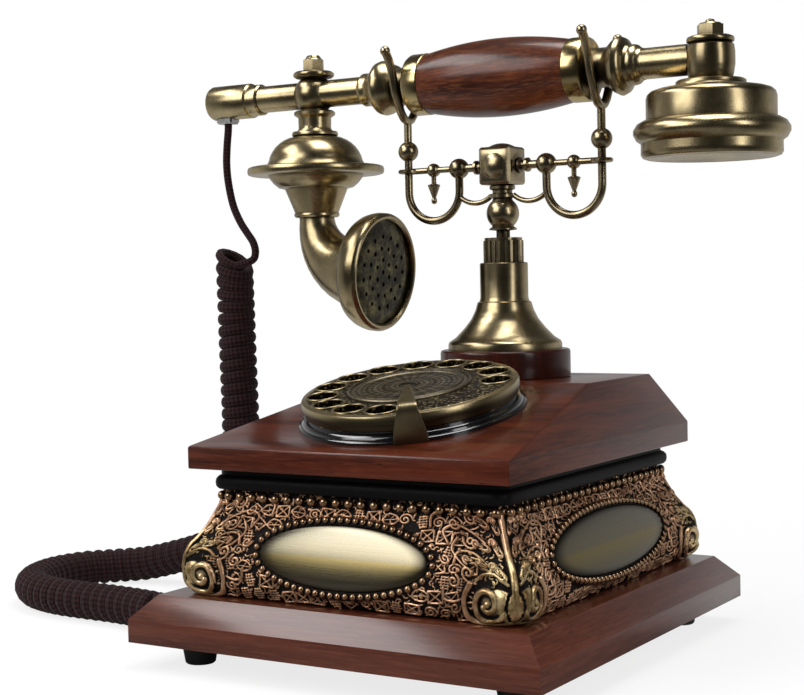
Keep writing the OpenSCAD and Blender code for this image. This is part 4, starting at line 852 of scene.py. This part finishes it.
def makeCase(s):
    finish = carvedFinish("wipedCopper")
    frames = ovalFrames(s)
    halfWide, halfDeep = s["neckWide"] / 2, s["neckDeep"] / 2
    for k, (half, out) in enumerate(((halfWide, halfDeep), (halfDeep, halfWide)) * 2):
        middle, along, up, away, oval = frames[k]
        x, y, z, height, gild = wallSheet(s, half, out, oval, s["seed"] + k)
        spin = np.array(Matrix.Rotation(math.radians(90 * k), 3, "Z"))
        points = np.stack([x, -y, z], -1) @ spin.T
        points[..., 1] += s["centreY"]
        # the wall is flat under the plate and its beads
        local = points - middle
        px, py, pz = local @ along, local @ up, local @ away
        reach = np.sqrt((px / (oval[0] + s["rim"])) ** 2 + (py / (oval[1] + s["rim"])) ** 2)
        inner = np.sqrt((px / oval[0]) ** 2 + (py / oval[1]) ** 2)
        hold = eased(np.clip((1.035 - reach) / 0.05, 0, 1))
        target = np.where(inner < 1.0, s["underPlate"], s["underBeads"])
        points = points + (hold * (target - pz))[..., None] * away
        height = height * (1 - hold) + hold * 0.1
        # painted highlight and shade: crests, which stand above what lies round them, are lightened, and
        # hollows below it are darkened, on top of the wiped copper of the high places and the gilt
        crest = height - softened(softened(height, 3), 4)
        wipeAndPaintedLight = np.clip(0.42 + crest * 1.15 + np.clip(height, 0, 1) * (0.16 + gild * 0.2), 0, 1.2)
        makeWall(s, "carvedWall%d" % k, points, wipeAndPaintedLight, gild, finish)
    makeBeads(s, frames)
    makeOvals(s, frames)


def softened(field, reach):
    for axis in (0, 1):
        field = sum(np.roll(field, k, axis) for k in range(-reach, reach + 1)) / (2 * reach + 1)
    return field


def makeWall(s, name, points, wipeAndPaintedLight, gild, finish):
    rows, cols = wipeAndPaintedLight.shape
    index = np.arange(rows * cols).reshape(rows, cols)
    # a plain back and edges close the sheet into a shell
    inward = points.mean(axis=(0, 1)) * np.array([1, 1, 0])
    centre = np.array([0, s["centreY"], 0])
    away = (inward - centre) / np.linalg.norm(inward - centre)
    edge = np.concatenate([index[0, :], index[1:, -1], index[-1, -2::-1], index[-2:0:-1, 0]])
    front = points.reshape(-1, 3)
    back = front[edge] - away * s["backing"]
    start, n = len(front), len(edge)
    behind = start + np.arange(n)
    faces = gridFaces(rows, cols).tolist()
    faces += np.stack([edge, behind, np.roll(behind, -1), np.roll(edge, -1)], -1).tolist()
    faces.append(behind[::-1].tolist())
    piece = addMesh(name, np.vstack([front, back]) * mm, faces, finish)
    putAttribute(piece, "relief", np.concatenate([wipeAndPaintedLight.ravel(), np.zeros(n)]))
    putAttribute(piece, "gild", np.concatenate([gild.ravel(), np.zeros(n)]))
    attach(piece, "root")
    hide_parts("carved_body")


def beadShape(given):
    # beads strung evenly along every line of the input mesh
    line = given["Mesh"].node("GeometryNodeMeshToCurve", {"Mesh": given["Mesh"]})
    even = line.node("GeometryNodeResampleCurve", {"Curve": line, "Length": given["Pitch"]}, mode="LENGTH")
    ball = line.node("GeometryNodeMeshIcoSphere", {"Radius": given["Radius"], "Subdivisions": 3})
    return even, ball, None


def lipShape(given):
    # a raised lip at every point of the input mesh
    points = given["Mesh"]
    circle = points.node("GeometryNodeCurvePrimitiveCircle", {"Radius": given["Radius"], "Resolution": 48})
    section = points.node("GeometryNodeCurvePrimitiveCircle", {"Radius": given["Lip"], "Resolution": 12})
    skin = points.node("GeometryNodeCurveToMesh", {"Curve": circle, "Profile Curve": section})
    return points, skin, points.node("ShaderNodeCombineXYZ", {"X": given["Tilt"]})


def patternTree(name, numbers, shape, finish):
    # geometry tree that sets a small shape on points, turned as the shape says
    tree = bpy.data.node_groups.new(name, "GeometryNodeTree")
    sockets = [("Mesh", "INPUT", "Geometry"), ("Made", "OUTPUT", "Geometry")]
    for label, side, kind in sockets + [(number, "INPUT", "Float") for number in numbers]:
        tree.interface.new_socket(label, in_out=side, socket_type="NodeSocket" + kind)
    start = tree.nodes.new("NodeGroupInput")
    points, piece, turn = shape({label: Wire(tree, start.outputs[label]) for label in ("Mesh", *numbers)})
    inputs = {"Points": points, "Instance": piece, "Rotation": turn}
    made = points.node("GeometryNodeInstanceOnPoints", inputs)
    made = made.node("GeometryNodeRealizeInstances", {"Geometry": made})
    made = made.node("GeometryNodeSetShadeSmooth", {"Geometry": made})
    made = made.node("GeometryNodeSetMaterial", {"Geometry": made, "Material": finish})
    feed(tree, tree.nodes.new("NodeGroupOutput").inputs["Made"], made)
    return tree


def patternPiece(name, loops, tree, values, finish):
    # the pattern along closed loops of points, or on a single point where a loop has only one
    mesh = bpy.data.meshes.new(name)
    points, edges = [], []
    for loop in loops:
        start, n = len(points), len(loop)
        points += [tuple(p) for p in loop]
        edges += [(start + i, start + (i + 1) % n) for i in range(n) if n > 1]
    mesh.from_pydata(points, edges, [])
    piece = newPiece(name, mesh, finish)
    change = piece.modifiers.new("pattern", "NODES")
    change.node_group = tree
    for item in tree.interface.items_tree:
        if item.name in values:
            change[item.identifier] = values[item.name]
    return plainCopy(piece)


def makeBeads(s, frames):
    gilt = agedBrass("beadCopper", (0.66, 0.41, 0.235), (0.06, 0.032, 0.017), 0.35, 0.2)
    tree = patternTree("beadString", ("Radius", "Pitch"), beadShape, gilt)
    level = s["low"] + (s["high"] - s["low"]) * s["beadShare"]
    wide, deep, r = s["neckWide"] / 2 + s["neckOut"], s["neckDeep"] / 2 + s["neckOut"], s["radius"] + 1.0
    loop = []
    for sx, sy, first in ((1, 1, 0), (-1, 1, 90), (-1, -1, 180), (1, -1, 270)):
        for k in range(7):
            a = math.radians(first + 15 * k)
            loop.append(((sx * (wide - r) + r * math.cos(a)) * mm,
                         (s["centreY"] + sy * (deep - r) + r * math.sin(a)) * mm, level * mm))
    turn = np.linspace(0, math.tau, 96, endpoint=False)[:, None]
    rings = []
    for middle, along, up, away, oval in frames:
        a, b = oval[0] + s["beadRing"], oval[1] + s["beadRing"]
        ring = middle + np.cos(turn) * a * along + np.sin(turn) * b * up + s["beadLift"] * away
        rings.append((ring * mm).tolist())
    for name, loops, bead in (("neckBeads", [loop], "neckBead"), ("ovalBeads", rings, "ovalBead")):
        radius, pitch = s[bead]
        piece = patternPiece(name, loops, tree, {"Radius": radius * mm, "Pitch": pitch * mm}, gilt)
        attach(piece, "root")


def makeOvals(s, frames):
    # rings of a dome from its middle outwards, and last the edge of its flat foot
    rings, around = 24, 96
    q = np.append(np.sin(np.arange(rings + 1) / rings * math.pi / 2), 1.0)
    rise = np.append(s["foot"] + s["dome"] * np.sqrt(np.maximum(0.0, 1 - q[:-1] ** 2)), 0.0)
    turn = math.tau * np.arange(around) / around
    cosine, sine = q[:, None, None] * np.cos(turn)[:, None], q[:, None, None] * np.sin(turn)[:, None]
    # the side plates take the end plates' colours at half strength, as painted shade
    for name, picks, share in (("endPlates", (0, 2), 1.0), ("sidePlates", (1, 3), 0.5)):
        points, faces = [], []
        for pick in picks:
            middle, along, up, away, oval = frames[pick]
            start = len(points)
            dome = middle + along * oval[0] * cosine + up * oval[1] * sine + away * rise[:, None, None]
            points += (dome.reshape(-1, 3) * mm).tolist()
            faces += gridFaces(rings + 2, around, start, True)[:, [0, 3, 2, 1]].tolist()
            faces.append(range(len(points) - 1, len(points) - around - 1, -1))
        piece = addMesh(name, points, faces, ovalFinish(name + "Brass", share))
        putAttribute(piece, "edge", np.tile(np.repeat(q, around), len(picks)))
        # the height in each plate, from which its painted reflection is drawn
        putAttribute(piece, "level", np.tile(sine.ravel(), len(picks)))
        tidyShell(piece)
        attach(piece, "root")
        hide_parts("end_plates" if name == "endPlates" else "side_plates")


def tidyShell(piece):
    # merges doubled points and turns every face outwards
    work = bmesh.new()
    work.from_mesh(piece.data)
    bmesh.ops.remove_doubles(work, verts=work.verts, dist=0.00001)
    bmesh.ops.dissolve_degenerate(work, edges=work.edges, dist=0.000001)
    bmesh.ops.recalc_face_normals(work, faces=work.faces)
    work.to_mesh(piece.data)
    work.free()


makeCase(caseSettings)
print("carved case made")


# dial

dialSettings = {
    # the front slope of the top board: its foot, its tilt, and how far up it the dial's middle is
    "slopeFront": -91.0, "slopeLow": 95.4, "tilt": math.atan(22.4 / 111.5), "up": 60.6,
    "ring": 38.4, "hole": 6.5, "holes": 12, "pitch": 24.0, "first": 13.0, "lipOut": 0.6, "lip": 0.65,
    "lipHigh": 12.0, "stopAngle": 30.0, "stopThick": 1.3, "stopRound": 0.35,
    # bent leaf of the stop: radius from the middle, half width and height of each cross line
    "stop": [(50.4, 7.4, 0.0), (50.5, 7.2, 2.5), (50.5, 6.6, 6.0), (50.5, 5.6, 10.0), (50.45, 4.8, 13.2),
             (50.0, 4.35, 15.0), (48.6, 4.1, 16.0), (46.0, 3.8, 16.4), (40.0, 3.2, 16.4), (32.0, 2.4, 16.5),
             (25.0, 1.7, 16.7), (21.0, 1.3, 16.9), (19.6, 1.0, 17.0)],
}
slopeStart = Vector((0, caseSettings["centreY"] + dialSettings["slopeFront"], dialSettings["slopeLow"]))
slopeUp = Vector((0, math.cos(dialSettings["tilt"]), math.sin(dialSettings["tilt"])))
dialMiddle = slopeStart + dialSettings["up"] * slopeUp


def onDial(x, y, h):
    # a point on the sloping dial, in metres
    sine, cosine = math.sin(dialSettings["tilt"]), math.cos(dialSettings["tilt"])
    return (dialMiddle + Vector((x, y * cosine - h * sine, y * sine + h * cosine))) * mm


def makeDial(s):
    brass = agedBrass("lipBrass", (0.4, 0.32, 0.18), (0.035, 0.026, 0.015), 0.5, 0.24)
    centres = []
    for i in range(s["holes"]):
        a = math.radians(s["first"] - i * s["pitch"])
        centres.append([onDial(s["ring"] * math.sin(a), -s["ring"] * math.cos(a), s["lipHigh"])])
    tree = patternTree("holeLip", ("Radius", "Lip", "Tilt"), lipShape, brass)
    values = {"Radius": (s["hole"] + s["lipOut"]) * mm, "Lip": s["lip"] * mm, "Tilt": s["tilt"]}
    lips = patternPiece("holeLips", centres, tree, values, brass)
    tidyShell(lips)
    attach(lips, "dial")
    makeStop(s)
    centre = tuple(dialMiddle * mm)
    dress(["finger_wheel"], dialFinish("wornDial", centre, s["tilt"]))
    dress(["dial_medallion"], medallionFinish("turnedMedallion", centre, s["tilt"]))


def makeStop(s):
    line = catmull(s["stop"], 5)
    a = math.radians(s["stopAngle"])
    across = 9
    points = []
    for r, w, h in line:
        for x in w * np.linspace(-1, 1, across):
            points.append(onDial(x * math.cos(a) + r * math.sin(a), x * math.sin(a) - r * math.cos(a), h))
    brass = agedBrass("stopBrass", (0.34, 0.275, 0.155), (0.07, 0.05, 0.03), 0.5, 0.26)
    piece = addMesh("fingerStopLeaf", points, gridFaces(len(line), across).tolist(), brass)
    thick = piece.modifiers.new("thick", "SOLIDIFY")
    thick.thickness = s["stopThick"] * mm
    thick.offset = 0
    soft = piece.modifiers.new("round", "BEVEL")
    soft.width = s["stopRound"] * mm
    soft.segments = 2
    soft.limit_method = "ANGLE"
    plainCopy(piece)
    tidyShell(piece)
    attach(piece, "root")
    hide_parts("finger_stop")


tipSettings = {"out": 52.7, "apart": 19.8, "middle": 58.4, "high": 277.1, "radius": 2.5}


def makeForkTips(s, finish):
    # the rounded ends of the four prongs
    work = bmesh.new()
    for sx, sy in ((-1, -1), (-1, 1), (1, -1), (1, 1)):
        at = Matrix.Translation(Vector((sx * s["out"], s["middle"] + sy * s["apart"], s["high"])) * mm)
        bmesh.ops.create_icosphere(work, subdivisions=3, radius=s["radius"] * mm, matrix=at)
    mesh = bpy.data.meshes.new("forkTips")
    work.to_mesh(mesh)
    work.free()
    mesh.polygons.foreach_set("use_smooth", [True] * len(mesh.polygons))
    piece = newPiece("forkTips", mesh, finish)
    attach(piece, "cradle")


def dress(names, material, smoothing=35, bevel=0.0):
    # gives CAD pieces their finish, and rounds their shading
    for name in names:
        piece = nodes[name]
        piece.data.materials.clear()
        piece.data.materials.append(material)
        piece.data.polygons.foreach_set("use_smooth", [True] * len(piece.data.polygons))
        weld = piece.modifiers.new("weld", "WELD")
        weld.merge_threshold = 0.00001
        if bevel:
            soft = piece.modifiers.new("soft", "BEVEL")
            soft.width = bevel * mm
            soft.segments = 3
            soft.limit_method = "ANGLE"
            soft.angle_limit = math.radians(8)
        split = piece.modifiers.new("split", "EDGE_SPLIT")
        split.split_angle = math.radians(smoothing)


makeDial(dialSettings)
print("dial made")


# finishes of the other pieces

boardSettings = {
    # where the grain turns, in metres: the top board's hip runs in from its foot, at the front
    # edge, to its top, and the base board's mitre lies a little off the diagonal
    "hipFoot": 0.079, "hipTop": 0.0601, "front": 0.0878, "hipRun": 0.1695, "mitre": 0.0055,
    "boardGrain": (9, 130, 150), "blockGrain": (60, 60, 9), "gripGrain": (14, 150, 150),
}


def dressAll(s):
    def pastHip(x, y):
        return x - (s["hipFoot"] - (y + s["front"]) * s["hipRun"]).calc("MAXIMUM", s["hipTop"])

    def pastMitre(x, y):
        return x - y.calc("ABSOLUTE") + s["mitre"]

    top = mahogany("mahoganyTop", s["boardGrain"], (0.028, 0.0048, 0.002), (0.084, 0.015, 0.005),
                   (0.13, 0.03, 0.01), turned=pastHip)
    base = mahogany("mahoganyBase", s["boardGrain"], (0.052, 0.0112, 0.0056), (0.098, 0.024, 0.0116),
                    (0.15, 0.044, 0.021), coat=0.9, turned=pastMitre)
    block = mahogany("mahoganyBlock", s["blockGrain"], (0.02, 0.004, 0.0024), (0.046, 0.008, 0.0042),
                     (0.07, 0.015, 0.007))
    grip = mahogany("mahoganyGrip", s["gripGrain"], (0.026, 0.0055, 0.0026), (0.095, 0.02, 0.006),
                    (0.21, 0.062, 0.015), 0.38, 0.6, 0.2)
    body = agedBrass("agedBrass", (0.54, 0.435, 0.245), (0.055, 0.039, 0.023), 0.5, 0.19)
    dark = agedBrass("gunBrass", (0.5, 0.405, 0.245), (0.04, 0.029, 0.019), 0.55, 0.19)
    steel = plain("plainSteel", (0.55, 0.55, 0.54), 0.3, 1.0)
    for names, finish, *shading in (
            ("top_board", top, 30, 0.7), ("base_board", base, 30, 0.7), ("column_block", block, 30, 0.5),
            ("grip", grip, 40),
            ("mouth_tee arm_tubes end_cap mouth_dome mouth_cup mouth_horn mouth_rim receiver_barrel", body),
            ("receiver_cup ear_cap arm_nuts column_bell neck_collars", body),
            ("mouth_grille", grilleFinish("pittedGrille")),
            ("cradle_stem cradle_head left_arm right_arm drop_finials knurled_collar", dark, 38),
            ("ferrules", agedBrass("ferruleBrass", (0.6, 0.47, 0.23), (0.12, 0.08, 0.035), 0.25, 0.13)),
            ("dial_bezel number_plate", plain("blackLacquer", (0.006, 0.006, 0.007), 0.16, coat=1.0)),
            ("neck_moulding", plain("satinBlack", (0.004, 0.004, 0.004), 0.5, specular=0.12)),
            ("rubber_feet", plain("footRubber", (0.014, 0.013, 0.013), 0.6)),
            ("case_screws guide_tube column_nut return_spring lift_spring dial_spindle", steel),
            ("tie_rod dial_case cord_clip bottom_cover", steel),
            ("dial_screw", plain("screwBronze", (0.14, 0.12, 0.09), 0.3, 1.0)),
            ("drive_gear pulse_pinion", plain("gearBrass", (0.6, 0.45, 0.18), 0.3, 1.0)),
            ("hook_switch ringer handset_jack line_jack microphone speaker",
             plain("darkPlastic", (0.02, 0.02, 0.02), 0.5)),
            ("circuit_board", plain("solderMask", (0.02, 0.12, 0.05), 0.4)),
            ("cord_plug", clearFinish("clearPlug"))):
        dress(names.split(), finish, *shading)
    makeForkTips(tipSettings, dark)


dressAll(boardSettings)
print("finishes set")
